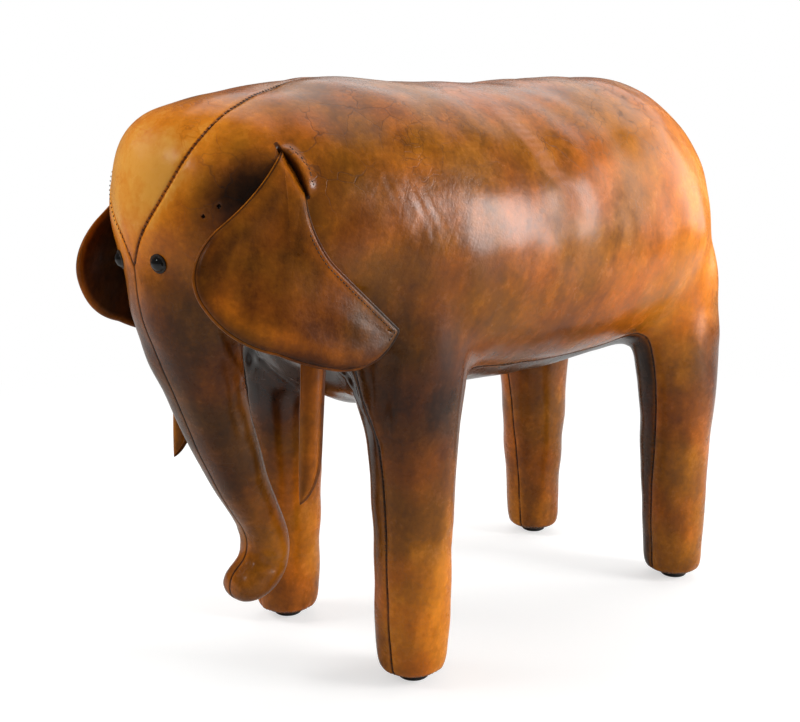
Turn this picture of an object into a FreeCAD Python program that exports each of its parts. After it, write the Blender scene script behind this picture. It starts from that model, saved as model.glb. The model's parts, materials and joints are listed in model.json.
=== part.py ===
import FreeCAD, Part
import math
import os
import re

import Sketcher

V = FreeCAD.Vector
doc = FreeCAD.newDocument("elephant_footstool")
sheet = doc.addObject("Spreadsheet::Sheet", "sizes")

# Driving sizes in millimetres; the elephant faces -Y and stands on Z = 0.
SIZES = {
    # Barrel of the body and head
    "crown_y": -349.0,
    "girth_y": 70.0,
    "rump_y": 333.0,
    "girth_half_width": 166.0,
    "crown_z": 436.0,
    "core_z": 392.0,
    "rump_z": 388.0,
    "nape_y": -155.0,
    "nape_z": 541.0,
    "croup_y": 220.0,
    "croup_z": 567.0,
    "saddle_dip": 9.0,
    "chest_y": -130.0,
    "chest_z": 223.0,
    "loin_y": 170.0,
    "loin_z": 250.0,
    "neck_y": -200.0,
    # Legs
    "front_leg_x": 98.0,
    "front_leg_y": -128.0,
    "hind_leg_x": 107.0,
    "hind_leg_y": 268.0,
    "hind_leg_lean": 10.0,
    "foot_radius": 31.5,
    "front_knee_radius": 38.0,
    "hind_knee_radius": 39.0,
    "knee_z": 225.0,
    "front_shoulder_half": 46.0,
    "hind_shoulder_half": 38.0,
    "shoulder_length_half": 61.0,
    "shoulder_z": 322.0,
    "leg_crown_z": 402.0,
    # Trunk
    "trunk_y": -293.0,
    "trunk_z": 402.0,
    "trunk_root_half_width": 80.0,
    "trunk_root_half_depth": 60.0,
    "trunk_root_dome": 60.0,
    "trunk_tip_half_width": 24.5,
    "trunk_tip_half_depth": 21.0,
    "trunk_bow_radius": 512.0,
    "trunk_bow_turn": 29.0,
    "trunk_heel_radius": 70.0,
    "trunk_curl_radius": 27.0,
    "trunk_curl_turn": 98.0,
    "trunk_lip_radius": 150.0,
    "trunk_lip_turn": 5.0,
    # Leather, clearances and seams
    "leather": 3.0,
    "packing_gap": 0.6,
    "cut_gap": 0.3,
    "seam_gap": 0.4,
    "sole_z": 12.0,
    "sole_thickness": 4.0,
    "sole_edge": 11.0,
    # Forehead gusset and belly gusset
    "gore_y": -343.0,
    "gore_z": 382.0,
    "gore_length": 232.0,
    "gore_half_width": 57.0,
    "gore_wide_at": 92.0,
    "gusset_nose_y": -232.0,
    "gusset_tail_y": 322.0,
    "gusset_top_z": 330.0,
    "gusset_hem_z": 238.0,
    # Ears
    "ear_x": 101.0,
    "ear_y": -266.0,
    "ear_z": 476.0,
    "ear_ply": 3.0,
    "ear_ply_gap": 0.2,
    "ear_cup": 320.0,
    "ear_bulge": 12.0,
    "ear_width": 114.0,
    "ear_length": 180.0,
    "ear_slit": 36.0,
    "ear_roll_radius": 5.0,
    "ear_roll_top": -4.3,
    "ear_roll_foot": 4.4,
    "ear_slit_radius": 5.6,
    "ear_press_turn": 5.0,
    # Eyes
    "eye_x": 30.0,
    "eye_z": 386.0,
    "eye_radius": 7.5,
    "eye_height": 5.0,
    "eye_pin_radius": 1.0,
    "eye_pin_length": 24.0,
    # Tusks
    "tusk_x": 100.0,
    "tusk_y": -240.0,
    "tusk_root_radius": 10.5,
    "tusk_length": 126.0,
    "tusk_sweep": 16.0,
    "tusk_leather": 2.0,
    "tusk_seat_gap": -0.3,
    # Tail
    "tail_z": 446.0,
    "tail_root_radius": 9.0,
    "tail_tip_radius": 5.0,
    "tail_length": 190.0,
    "tail_lean": 6.0,
    "tail_leather": 1.8,
    "tail_seat_gap": 0.9,
    # Timber frame
    "post_radius": 14.0,
    "post_top_z": 386.0,
    "rail_half_length": 120.0,
    "rail_width": 38.0,
    "rail_z": 346.0,
    "rail_height": 40.0,
    "spine_width": 84.0,
    "spine_thickness": 22.0,
    "spine_front_y": -262.0,
    "spine_rear_y": 292.0,
    "dowel_radius": 4.0,
    "screw_radius": 2.4,
    "screw_head_radius": 4.8,
    "screw_head_height": 4.0,
    "screw_spread": 23.5,
    "screw_length": 46.0,
    "fit_gap": 0.15,
    # Trunk rod and its staples
    "rod_radius": 4.0,
    "rod_rear_y": -150.0,
    "rod_front_y": -270.0,
    "rod_bend": 20.0,
    "staple_wire": 1.6,
    "staple_depth": 14.0,
    # Rubber feet
    "glide_radius": 15.0,
    "glide_flat_radius": 10.0,
    "glide_bulge_z": 5.0,
    "glide_screw_length": 30.0,
    "glide_recess": 4.0,
    "glide_bore": 2.6,
    "glide_recess_radius": 5.2,
    "glide_screw_head": 2.4,
}

# How fast each end of the barrel rounds off: higher is blunter.
PLAN_FRONT = 2.3
PLAN_REAR = 2.8
TOP_FRONT = 4.6
TOP_REAR = 3.3
BELLY_FRONT = 2.1
BELLY_REAR = 3.0

# Turn of the side arc of an oval before the flatter arc takes over.
OVAL_TURN = math.radians(52)

for row, (alias, value) in enumerate(SIZES.items(), 1):
    sheet.set(f"A{row}", alias.replace("_", " "))
    sheet.set(f"B{row}", str(value))
    sheet.setAlias(f"B{row}", alias)
doc.recompute()


def size(alias):
    """Value of one sheet cell."""
    return float(sheet.get(alias))


def bind(obj, **formulas):
    """Bind properties to formulas written in sheet names; a double underscore stands for a dot."""
    for name, text in formulas.items():
        text = re.sub(r"[a-z]\w+", lambda m: "sizes." + m[0] if m[0] in SIZES else m[0], str(text))
        obj.setExpression(name.replace("__", "."), text)
    return obj


def place(obj, x="0", y="0", z="0"):
    """Bind an object's position to three formulas."""
    return bind(obj, Placement__Base__x=x, Placement__Base__y=y, Placement__Base__z=z)


def box(name, length, width, height, x, y, z):
    """Block with its low corner at x, y, z."""
    obj = doc.addObject("Part::Box", name)
    return place(bind(obj, Length=length, Width=width, Height=height), x, y, z)


def rod(name, radius, height, x, y, z, axis=V(0, 0, 1)):
    """Round bar from x, y, z along an axis."""
    obj = doc.addObject("Part::Cylinder", name)
    obj.Placement.Rotation = FreeCAD.Rotation(V(0, 0, 1), axis)
    return place(bind(obj, Radius=radius, Height=height), x, y, z)


def fuse(name, *parts):
    obj = doc.addObject("Part::MultiFuse", name)
    obj.Shapes = list(parts)
    return obj


def cut(name, base, *tools):
    obj = doc.addObject("Part::Cut", name)
    obj.Base = base
    obj.Tool = tools[0] if len(tools) == 1 else fuse(name + "_tools", *tools)
    return obj


def common(name, *parts):
    obj = doc.addObject("Part::MultiCommon", name)
    obj.Shapes = list(parts)
    return obj


def mirrored(name, source):
    """The same piece on the elephant's right side."""
    obj = doc.addObject("Part::Mirroring", name)
    obj.Source = source
    obj.Normal = V(1, 0, 0)
    return obj


def group(name, *parts):
    """Several loose pieces of one kind as one node."""
    obj = doc.addObject("Part::Compound", name)
    obj.Links = list(parts)
    return obj


def shape(name, value):
    obj = doc.addObject("Part::Feature", name)
    obj.Shape = value
    return obj


def oval(half_width, up, down):
    """Closed outline of six tangent arcs around the origin: two side arcs above and two below."""

    def arcs(height):
        spread = (half_width - height) / (math.sin(OVAL_TURN) + math.cos(OVAL_TURN) - 1)
        side = half_width - spread * math.cos(OVAL_TURN)
        return side, side + spread

    def side_point(side, angle, sign):
        return half_width - side + side * math.cos(angle), sign * side * math.sin(angle)

    edges = []
    high, low = arcs(up), arcs(down)
    right_up = [side_point(high[0], OVAL_TURN * k, 1) for k in (0, 0.5, 1)]
    right_low = [side_point(low[0], OVAL_TURN * k, -1) for k in (1, 0.5, 0)]
    left_up = [(-x, y) for x, y in reversed(right_up)]
    left_low = [(-x, y) for x, y in reversed(right_low)]
    over = [right_up[2], (0, up), left_up[0]]
    under = [left_low[2], (0, -down), right_low[0]]
    for three in (right_up, over, left_up, left_low, under, right_low):
        edges.append(Part.Arc(*[V(x, y, 0) for x, y in three]).toShape())
    return Part.Wire(edges)


def ring(name, outline, centre, tilt):
    """Section standing across the length; tilt turns its plane about X from upright."""
    obj = shape(name, outline)
    obj.Placement = FreeCAD.Placement(centre, FreeCAD.Rotation(V(1, 0, 0), tilt))
    return obj


def loft(name, rings):
    obj = doc.addObject("Part::Loft", name)
    obj.Sections = [ring(f"{name}_ring_{k:02d}", *r) for k, r in enumerate(rings)]
    obj.Solid = True
    return obj


def taper(part, power):
    """One at the girth, nought at the end: the rounding of a stuffed end."""
    return max(1 - part**power, 0) ** (1 / power)


def barrel_ring(angle, front, inset, shrink=1.0):
    """Upright section of the barrel, drawn in by the inset; shrink closes the flat of an end."""
    part = math.sin(math.radians(angle))
    end = size("crown_y") + inset if front else size("rump_y") - inset
    y = size("girth_y") + part * (end - size("girth_y"))
    along = (y - size("nape_y")) / (size("croup_y") - size("nape_y"))
    back = size("nape_z") + (size("croup_z") - size("nape_z")) * along
    back -= size("saddle_dip") * math.sin(math.pi * min(max(along, 0), 1)) + inset
    along = (y - size("chest_y")) / (size("loin_y") - size("chest_y"))
    belly = size("chest_z") + (size("loin_z") - size("chest_z")) * along + inset
    core = size("core_z") + (size("crown_z" if front else "rump_z") - size("core_z")) * part**2
    plan, top, low = (PLAN_FRONT, TOP_FRONT, BELLY_FRONT) if front else (PLAN_REAR, TOP_REAR, BELLY_REAR)
    half = (size("girth_half_width") - inset) * taper(part, plan) * shrink
    above, below = (back - core) * taper(part, top), (core - belly) * taper(part, low)
    outline = oval(half, above * shrink, below * shrink)
    return outline, V(0, y + (end - y) * (1 - shrink), core), 90


def barrel(name, inset):
    front = [barrel_ring(a, True, inset) for a in (84, 76, 65, 51, 35, 17)]
    rear = [barrel_ring(a, False, inset) for a in (0, 17, 35, 51, 65, 76, 84)]
    nose, tail = barrel_ring(84, True, inset, 0.5), barrel_ring(84, False, inset, 0.5)
    return loft(name, [nose] + front + rear + [tail])


def leg(name, kind, inset):
    """Upright leg with a rounded foot edge, swelling into the shoulder inside the barrel."""
    foot, knee = size("foot_radius"), size(f"{kind}_knee_radius")
    wide, deep = size(f"{kind}_shoulder_half"), size("shoulder_length_half")
    edge, base = size("sole_edge"), size("sole_z")
    lean = size("hind_leg_lean") if kind == "hind" else 0.0
    high, crown = size("shoulder_z"), size("leg_crown_z")
    mid = (size("knee_z") + high) / 2
    rows = []
    for angle in (0, 35, 65):
        turn = math.radians(angle)
        radius = foot - edge * (1 - math.sin(turn))
        rows.append((base + inset + edge * (1 - math.cos(turn)), radius, radius))
    rows.append((base + inset + edge + 14, foot, foot + 1))
    rows.append((size("knee_z") * 0.55, foot + (knee - foot) * 0.45, foot + (knee - foot) * 0.55 + 1))
    rows.append((size("knee_z"), knee, knee + 3))
    rows.append((mid, (knee + wide) / 2 + 1, (knee + deep) / 2 + 3))
    rows.append((high, wide, deep))
    rows.append(((high + crown) / 2, wide * 0.93, deep * 0.93))
    rows.append((crown - inset, wide * 0.6, deep * 0.6))
    rings = []
    for z, across, along in rows:
        shift = lean * min(max((z - base) / (high - base), 0), 1)
        centre = V(size(f"{kind}_leg_x"), size(f"{kind}_leg_y") - shift, z)
        outline = oval(across - inset, along - inset, along - inset)
        rings.append((outline, centre, 0))
    return loft(name, rings)


TRUNK_ARCS = (
    ("trunk_bow_radius", size("trunk_bow_turn")),
    ("trunk_heel_radius", -size("trunk_bow_turn")),
    ("trunk_curl_radius", -size("trunk_curl_turn")),
    ("trunk_lip_radius", -size("trunk_lip_turn")),
)


def trunk_length():
    return sum(size(radius) * abs(math.radians(turn)) for radius, turn in TRUNK_ARCS)


def trunk_point(run):
    """Point and heading, in degrees from straight down, after a run along the trunk's middle line."""
    y, z, heading = size("trunk_y"), size("trunk_z"), 0.0
    for alias, turn in TRUNK_ARCS:
        radius, side = size(alias), math.copysign(1, turn)
        step = min(run, radius * abs(math.radians(turn)))
        after = heading + side * math.degrees(step / radius)
        before_r, after_r = math.radians(heading), math.radians(after)
        y += side * radius * (math.cos(before_r) - math.cos(after_r))
        z -= side * radius * (math.sin(after_r) - math.sin(before_r))
        run, heading = run - step, after
    return y, z, heading


def trunk(name, inset):
    """Tapering trunk that bows back, then curls forward to a rounded tip."""
    whole = trunk_length()
    dome = size("trunk_tip_half_depth") * 0.9
    root = size("trunk_root_dome")
    runs = [0, root * 0.22, root * 0.5, root, 105, 155, 205, 240, 268, whole - dome - 12, whole - dome]
    runs += [whole - dome + (dome - inset) * math.sin(math.radians(a)) for a in (32, 58, 78)]
    rings = []
    for run in runs:
        y, z, heading = trunk_point(run)
        fade = (1 - run / whole) ** 2.5
        across = size("trunk_tip_half_width")
        across += (size("trunk_root_half_width") - across) * fade
        deep = size("trunk_tip_half_depth")
        deep += (size("trunk_root_half_depth") - deep) * fade
        past = max((run - whole + dome) / (dome - inset), 0) + max((root - run) / (root * 1.25), 0)
        round_off = math.sqrt(1 - past**2)
        outline = oval((across - inset) * round_off, (deep - inset) * round_off, (deep - inset) * round_off)
        rings.append((outline, V(0, y, z), 180 + heading))
    return loft(name, rings)


# Outer skin, its hollow, and the space left to the packing, all from the same rounded forms.
OUTER, HOLLOW = 0.0, size("leather")
PACKED = HOLLOW + size("packing_gap")
CLEAR = PACKED - size("cut_gap")


def forms(tag, inset):
    left = [leg(f"{tag}_{kind}_leg", kind, inset) for kind in ("front", "hind")]
    right = [mirrored(f"{tag}_{kind}_right", obj) for kind, obj in zip(("front", "hind"), left)]
    return barrel(f"{tag}_barrel", inset), trunk(f"{tag}_trunk", inset), left + right


outer_barrel, outer_trunk, outer_legs = forms("outer", OUTER)
hollow_barrel, hollow_trunk, hollow_legs = forms("hollow", HOLLOW)
outer = fuse("outer_form", outer_barrel, outer_trunk, *outer_legs)
hollow = fuse("hollow_form", hollow_barrel, hollow_trunk, *hollow_legs)
skin = cut("skin", outer, hollow)
doc.recompute()

SEAM = size("seam_gap")


def arc(*points):
    """Arc through three plan points."""
    return Part.Arc(*[V(x, y, 0) for x, y in points]).toShape()


def line(*points):
    return Part.makeLine(*[V(x, y, 0) for x, y in points])


def prism(name, outline, grow, low, high, placement=FreeCAD.Placement()):
    """Upright block over a plan outline; grow widens the outline all round."""
    if grow:
        outline = outline.makeOffset2D(grow)
    obj = shape(name + "_plan", Part.Face(outline))
    obj.Placement = placement.multiply(FreeCAD.Placement(V(0, 0, low - grow), FreeCAD.Rotation()))
    block = doc.addObject("Part::Extrusion", name)
    block.Base = obj
    block.DirMode = "Custom"
    block.Dir = placement.Rotation.multVec(V(0, 0, 1))
    block.LengthFwd = high - low + 2 * grow
    block.Solid = True
    return block


def mirror_points(points):
    return [(-x, y) for x, y in reversed(points)]


def gore(name, grow):
    """Leaf of the forehead gusset, seen from ahead and above at 45 degrees."""
    half, wide, length = size("gore_half_width"), size("gore_wide_at"), size("gore_length")
    low = [(0, 0), (0.75 * half, 0.4 * wide), (half, wide)]
    high = [(half, wide), (0.64 * half, wide + 0.55 * (length - wide)), (0, length)]
    edges = [arc(*low), arc(*high), arc(*mirror_points(high)), arc(*mirror_points(low))]
    tilt = FreeCAD.Rotation(V(1, 0, 0), 45)
    at = FreeCAD.Placement(V(0, size("gore_y"), size("gore_z")), tilt)
    return prism(name, Part.Wire(edges), grow, -62, 140, at)


def boat(name, grow):
    """Plan of the belly gusset: a boat between throat and tail, with the inner halves of the legs."""
    fx, hx = size("front_leg_x"), size("hind_leg_x")
    nose, stern = size("gusset_nose_y"), size("gusset_tail_y")
    hip = size("hind_leg_y") + size("foot_radius") + 8
    breast = size("front_leg_y") - size("front_knee_radius") - 7
    bow = [(0, nose), (0.72 * fx, nose + 0.36 * (breast - nose)), (fx, breast)]
    end = [(hx, hip), (0.7 * hx, hip + 0.7 * (stern - hip)), (0, stern)]
    left = [arc(*bow), line(bow[2], end[0]), arc(*end)]
    right = [arc(*mirror_points(end)), line((-hx, hip), (-fx, breast)), arc(*mirror_points(bow))]
    hem, top = size("gusset_hem_z"), size("gusset_top_z")
    upper = prism(name + "_belly", Part.Wire(left + right), grow, hem, top)
    corners = [(fx, breast - 14), (hx, hip), (-hx, hip), (-fx, breast - 14), (fx, breast - 14)]
    plan = Part.makePolygon([V(x, y, 0) for x, y in corners])
    lower = prism(name + "_legs", plan, grow, 0, hem + 2)
    return fuse(name, upper, lower)


floor = box("sole_slab", "800", "1000", "sole_z + sole_thickness", "-400", "-500", "0")
floor_clear = box("sole_slab_clear", "800", "1000", "sole_z + sole_thickness + cut_gap", "-400", "-500", "0")
left_half = box("left_half", "400", "1000", "700", "seam_gap / 2", "-500", "0")


def surface_hit(start, toward):
    """First point of the outer skin met on a straight line, with the outward normal there."""
    inside = outer.Shape.common(Part.makeLine(start, toward))
    point = min((v.Point for v in inside.Vertexes), key=lambda q: (q - start).Length)
    probe = Part.Vertex(point)
    face = min(outer.Shape.Faces, key=lambda f: f.distToShape(probe)[0])
    normal = face.normalAt(*face.Surface.parameter(point))
    return point, normal


# Glass eyes with their wire pins, seated square on the skin.
eye_point, eye_normal = surface_hit(V(size("eye_x"), -500, size("eye_z")), V(size("eye_x"), 0, size("eye_z")))
EYE_TURN = FreeCAD.Rotation(V(0, 0, 1), eye_normal)
EYE_SEAT = FreeCAD.Placement(eye_point + eye_normal * 0.15, EYE_TURN)


def sketch_in(body, role, edges):
    """Closed profile in a body; each corner is held at plan sizes, each arc by its radius."""
    profile = body.newObject("Sketcher::SketchObject", body.Name + "_profile")
    plane = [f for f in body.Origin.OriginFeatures if f.Role == role][0]
    profile.AttachmentSupport = [(plane, "")]
    profile.MapMode = "FlatFace"
    amount = {p: size(p) if isinstance(p, str) else p for e in edges for q in e for p in q}
    ends = []
    for edge in edges:
        points = [V(amount[x], amount[y], 0) for x, y in edge]
        made = Part.LineSegment(*points) if len(points) == 2 else Part.Arc(*points)
        index = profile.addGeometry(made, False)
        first = 1 if (profile.getPoint(index, 1) - points[0]).Length < 1e-6 else 2
        ends.append((index, first, 3 - first, edge))
    for here, after in zip(ends, ends[1:] + ends[:1]):
        profile.addConstraint(Sketcher.Constraint("Coincident", here[0], here[2], after[0], after[1]))
    for index, first, _, edge in ends:
        for axis, kind, cell in ((-2, "DistanceX", edge[0][0]), (-1, "DistanceY", edge[0][1])):
            if amount[cell] == 0:
                profile.addConstraint(Sketcher.Constraint("PointOnObject", index, first, axis))
                continue
            spot = profile.addConstraint(Sketcher.Constraint(kind, -1, 1, index, first, amount[cell]))
            if isinstance(cell, str):
                bind(profile, **{f"Constraints[{spot}]": cell})
        if len(edge) == 3:
            radius = profile.Geometry[index].Radius
            profile.addConstraint(Sketcher.Constraint("Radius", index, radius))
    return profile


def turned(name, edges):
    """Piece of revolution about its own upright axis."""
    body = doc.addObject("PartDesign::Body", name)
    profile = sketch_in(body, "XZ_Plane", edges)
    made = body.newObject("PartDesign::Revolution", name + "_turned")
    made.Profile = profile
    made.ReferenceAxis = (profile, ["V_Axis"])
    made.Angle = 360
    profile.Visibility = False
    return body


def eye_edges():
    """Half outline of a domed button cut from a ball."""
    radius, high = size("eye_radius"), size("eye_height")
    curve = (radius**2 + high**2) / (2 * high)
    half = math.asin(radius / curve) / 2
    middle = (curve * math.sin(half), high - curve + curve * math.cos(half))
    return [
        ((0, 0), ("eye_radius", 0)),
        (("eye_radius", 0), middle, (0, "eye_height")),
        ((0, "eye_height"), (0, 0)),
    ]


left_eye = turned("left_eye", eye_edges())
left_eye.Placement = EYE_SEAT
right_eye = mirrored("right_eye", left_eye)


def eye_pin(name, radius):
    pin = doc.addObject("Part::Cylinder", name)
    bind(pin, Radius=radius, Height="eye_pin_length")
    pin.Placement = FreeCAD.Placement(eye_point, EYE_TURN.multiply(FreeCAD.Rotation(V(1, 0, 0), 180)))
    return pin


left_pin = eye_pin("left_eye_pin", "eye_pin_radius")
eye_pins = group("eye_pins", left_pin, mirrored("right_eye_pin", left_pin))
left_pin_hole = eye_pin("left_eye_pin_hole", "eye_pin_radius + cut_gap")
pin_holes = [left_pin_hole, mirrored("right_eye_pin_hole", left_pin_hole)]

# Ears: two cupped plies sewn round the edge, hung from a leather roll that turns in a slit.
EAR_OUT = V(0.932, -0.3228, 0.1634).normalize()
EAR_DOWN = V(0.2783, 0.3305, -0.9019).normalize()
EAR_FORE = EAR_DOWN.cross(EAR_OUT)
EAR_SEAT = FreeCAD.Placement(
    V(size("ear_x"), size("ear_y"), size("ear_z")),
    FreeCAD.Rotation(EAR_FORE, EAR_DOWN, EAR_OUT, "ZXY"),
)


def ear_edges():
    """Outline with forward as X and down as Y, from the top of the slit round the front corner."""
    return [
        ((0, 0), (36, 20), (77, 33)),
        ((77, 33), (105, 50), ("ear_width", 76)),
        (("ear_width", 76), (104, 110), (80, 137)),
        ((80, 137), (61, 156), (40, 172)),
        ((40, 172), (8, "ear_length"), (-22, 167)),
        ((-22, 167), (-4, 127), (9, 94)),
        ((9, 94), (10, 65), (0, "ear_slit")),
        ((0, "ear_slit"), (0, 0)),
    ]


def ball(name, radius):
    """Large ball whose skin gives the ear its cup."""
    obj = doc.addObject("Part::Sphere", name)
    bind(obj, Radius=radius)
    middle = V(45, 90, size("ear_bulge") - size("ear_cup"))
    obj.Placement.Base = EAR_SEAT.multVec(middle)
    return obj


def ear_ply(name, low, high, *spaces):
    blank = doc.addObject("PartDesign::Body", name + "_blank")
    profile = sketch_in(blank, "XY_Plane", ear_edges())
    pad = blank.newObject("PartDesign::Pad", name + "_pad")
    pad.Profile = profile
    pad.Length = 60
    pad.Midplane = True
    profile.Visibility = False
    blank.Placement = EAR_SEAT
    shell = cut(name + "_cup", ball(name + "_over", high), ball(name + "_under", low))
    return cut(name, common(name + "_leaf", blank, shell), *spaces)


EAR_TOP = EAR_SEAT.multVec(V(0, 0, size("ear_roll_top")))
EAR_AXIS = (EAR_SEAT.multVec(V(0, size("ear_slit"), size("ear_roll_foot"))) - EAR_TOP).normalize()


def ear_roll(name, radius, start, length):
    """Round bar along the slit, which follows the slope of the head."""
    roll = doc.addObject("Part::Cylinder", name)
    bind(roll, Radius=radius, Height=length)
    turn = FreeCAD.Rotation(V(0, 0, 1), EAR_AXIS)
    roll.Placement = FreeCAD.Placement(EAR_TOP + EAR_AXIS * start, turn)
    return roll


left_ear_root = ear_roll("left_ear_root", "ear_roll_radius", 1, "ear_slit - 2")
roll_space = ear_roll("ear_roll_space", "ear_roll_radius + fit_gap", -4, "ear_slit + 8")
left_ear_outer = ear_ply("left_ear_outer", "ear_cup", "ear_cup + ear_ply", roll_space)
# The inner ply is pared back where the head meets it with the ear pressed in.
head_relief = barrel("head_relief", -size("cut_gap"))
head_relief.Placement = FreeCAD.Placement(V(), FreeCAD.Rotation(EAR_AXIS, -size("ear_press_turn")), EAR_TOP)
left_ear_inner = ear_ply(
    "left_ear_inner", "ear_cup - ear_ply_gap - ear_ply", "ear_cup - ear_ply_gap", roll_space, head_relief
)
left_slit = ear_roll("left_ear_slit", "ear_slit_radius", 0, "ear_slit")
slits = [left_slit, mirrored("right_ear_slit", left_slit)]
right_ear_root = mirrored("right_ear_root", left_ear_root)
right_ear_outer = mirrored("right_ear_outer", left_ear_outer)
right_ear_inner = mirrored("right_ear_inner", left_ear_inner)

# Leather panels: two sides, forehead gusset and belly gusset, split from the skin along their seams.
gore_block, gore_clear = gore("gore", 0), gore("gore_clear", SEAM)
boat_block, boat_clear = boat("boat", 0), boat("boat_clear", SEAM)
forehead_gusset = cut("forehead_gusset", common("gore_skin", skin, gore_block), *pin_holes)
belly_gusset = cut("belly_gusset", common("boat_skin", skin, boat_block), floor_clear)
side_skin = common("side_skin", skin, left_half)
left_side_panel = cut(
    "left_side_panel", side_skin, gore_clear, boat_clear, floor_clear, left_slit, left_pin_hole
)
right_side_panel = mirrored("right_side_panel", left_side_panel)

# Timber frame: posts in bored rails, pinned by dowels, under a spine board held by screws.
RAIL_Y = {"front": "front_leg_y", "hind": "hind_leg_y"}
SIDES = {"left": "", "right": "-"}


def corner_rod(tag, end, side, radius, height, z):
    return rod(f"{end}_{side}_{tag}", radius, height, f"{SIDES[side]}{end}_leg_x", RAIL_Y[end], z)


def dowel(tag, end, side, radius):
    y = f"{RAIL_Y[end]} + rail_width / 2"
    z = "rail_z + rail_height / 2"
    return rod(f"{end}_{side}_{tag}", radius, "rail_width", f"{SIDES[side]}{end}_leg_x", y, z, V(0, -1, 0))


def headed(name, grow, length, head_height, x, y, seat):
    """Screw whose shank leaves the seat of its head: down in the board, up in a foot."""
    way = V(0, 0, -1) if seat.startswith("rail") else V(0, 0, 1)
    shank = rod(name + "_shank", f"screw_radius + {grow}", length, x, y, seat, way)
    cap = rod(name + "_cap", f"screw_head_radius + {grow}", head_height, x, y, seat, way * -1)
    return fuse(name, shank, cap)


def spine_screw(tag, end, side, grow):
    """Screw down through the spine board into a rail, its head let in flush."""
    seat = "rail_z + rail_height + spine_thickness - screw_head_height"
    x = f"{SIDES[side]}screw_spread"
    return headed(f"{end}_{side}_{tag}", grow, "screw_length", "screw_head_height", x, RAIL_Y[end], seat)


CORNERS = [(end, side) for end in RAIL_Y for side in SIDES]
dowels = group("post_dowels", *[dowel("dowel", e, s, "dowel_radius") for e, s in CORNERS])
dowel_holes = {c: dowel("dowel_hole", *c, "dowel_radius + fit_gap") for c in CORNERS}
spine_screws = group("spine_screws", *[spine_screw("spine_screw", *c, "0") for c in CORNERS])
screw_holes = {c: spine_screw("spine_screw_hole", *c, "fit_gap") for c in CORNERS}

# Rubber feet with recessed screws, driven through the soles into the posts.


def foot_edges():
    radius, flat = size("glide_radius"), size("glide_flat_radius")
    return [
        (("glide_bore", "glide_recess"), ("glide_recess_radius", "glide_recess")),
        (("glide_recess_radius", "glide_recess"), ("glide_recess_radius", 0)),
        (("glide_recess_radius", 0), ("glide_flat_radius", 0)),
        (
            ("glide_flat_radius", 0),
            (flat + (radius - flat) * 0.74, size("glide_bulge_z") * 0.28),
            ("glide_radius", "glide_bulge_z"),
        ),
        (("glide_radius", "glide_bulge_z"), ("glide_radius", "sole_z")),
        (("glide_radius", "sole_z"), ("glide_bore", "sole_z")),
        (("glide_bore", "sole_z"), ("glide_bore", "glide_recess")),
    ]


def foot_screw(tag, end, side, grow):
    """Pan screw standing in the recess of a foot."""
    x = f"{SIDES[side]}{end}_leg_x"
    name = f"{end}_{side}_{tag}"
    return headed(name, grow, "glide_screw_length", "glide_screw_head", x, RAIL_Y[end], "glide_recess")


foot_screws = group("foot_screws", *[foot_screw("foot_screw", *c, "0") for c in CORNERS])
foot_holes = {c: foot_screw("foot_screw_hole", *c, "fit_gap") for c in CORNERS}
feet, soles, posts, post_spaces = {}, {}, {}, []
OUTER_LEG = dict(zip([(e, s) for s in SIDES for e in RAIL_Y], outer_legs))
for corner in CORNERS:
    end, side = corner
    foot = turned(f"{end}_{side}_foot", foot_edges())
    feet[corner] = place(foot, f"{SIDES[side]}{end}_leg_x", RAIL_Y[end])
    disc = common(f"{end}_{side}_sole_disc", OUTER_LEG[corner], floor)
    soles[corner] = cut(f"{end}_{side}_sole", disc, foot_holes[corner])
    base = "sole_z + sole_thickness"
    stock = corner_rod("post_stock", end, side, "post_radius", f"post_top_z - ({base})", base)
    posts[corner] = cut(f"{end}_{side}_post", stock, dowel_holes[corner], foot_holes[corner])
    space = corner_rod("post_space", end, side, "post_radius + cut_gap", "post_top_z - sole_z + 1", "sole_z")
    post_spaces.append(space)

def rail_block(name, y, grow, lid):
    """Cross rail, or the space it needs in the packing when grown by a gap."""
    length, width = f"2 * (rail_half_length + {grow})", f"rail_width + 2 * {grow}"
    low = f"rail_z - {grow}"
    side = f"{y} - rail_width / 2 - {grow}"
    return box(name, length, width, f"rail_height + {grow} + {lid}", f"-rail_half_length - {grow}", side, low)


rails, rail_spaces = {}, []
for end, y in RAIL_Y.items():
    blank = rail_block(f"{end}_rail_blank", y, "0", "0")
    bore = ("post_radius + fit_gap", "rail_height + 2", "rail_z - 1")
    bores = [corner_rod("post_bore", end, s, *bore) for s in SIDES]
    holes = [dowel_holes[(end, s)] for s in SIDES] + [screw_holes[(end, s)] for s in SIDES]
    rails[end] = cut(f"{end}_rail", blank, *bores, *holes)
    rail_spaces.append(rail_block(f"{end}_rail_space", y, "cut_gap", "1"))


def spine(name, grow):
    """Board along the back, or the space it needs in the packing."""
    wide, thick = f"spine_width + 2 * {grow}", f"spine_thickness + {grow}"
    long = f"spine_rear_y - spine_front_y + 2 * {grow}"
    front = f"spine_front_y - {grow}"
    return box(name, wide, long, thick, f"-spine_width / 2 - {grow}", front, "rail_z + rail_height")


# Trunk rod: lies on the spine board, bends over its front end and follows the trunk.
ROD_Z = size("rail_z") + size("rail_height") + size("spine_thickness") + size("rod_radius") + 0.05


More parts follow.
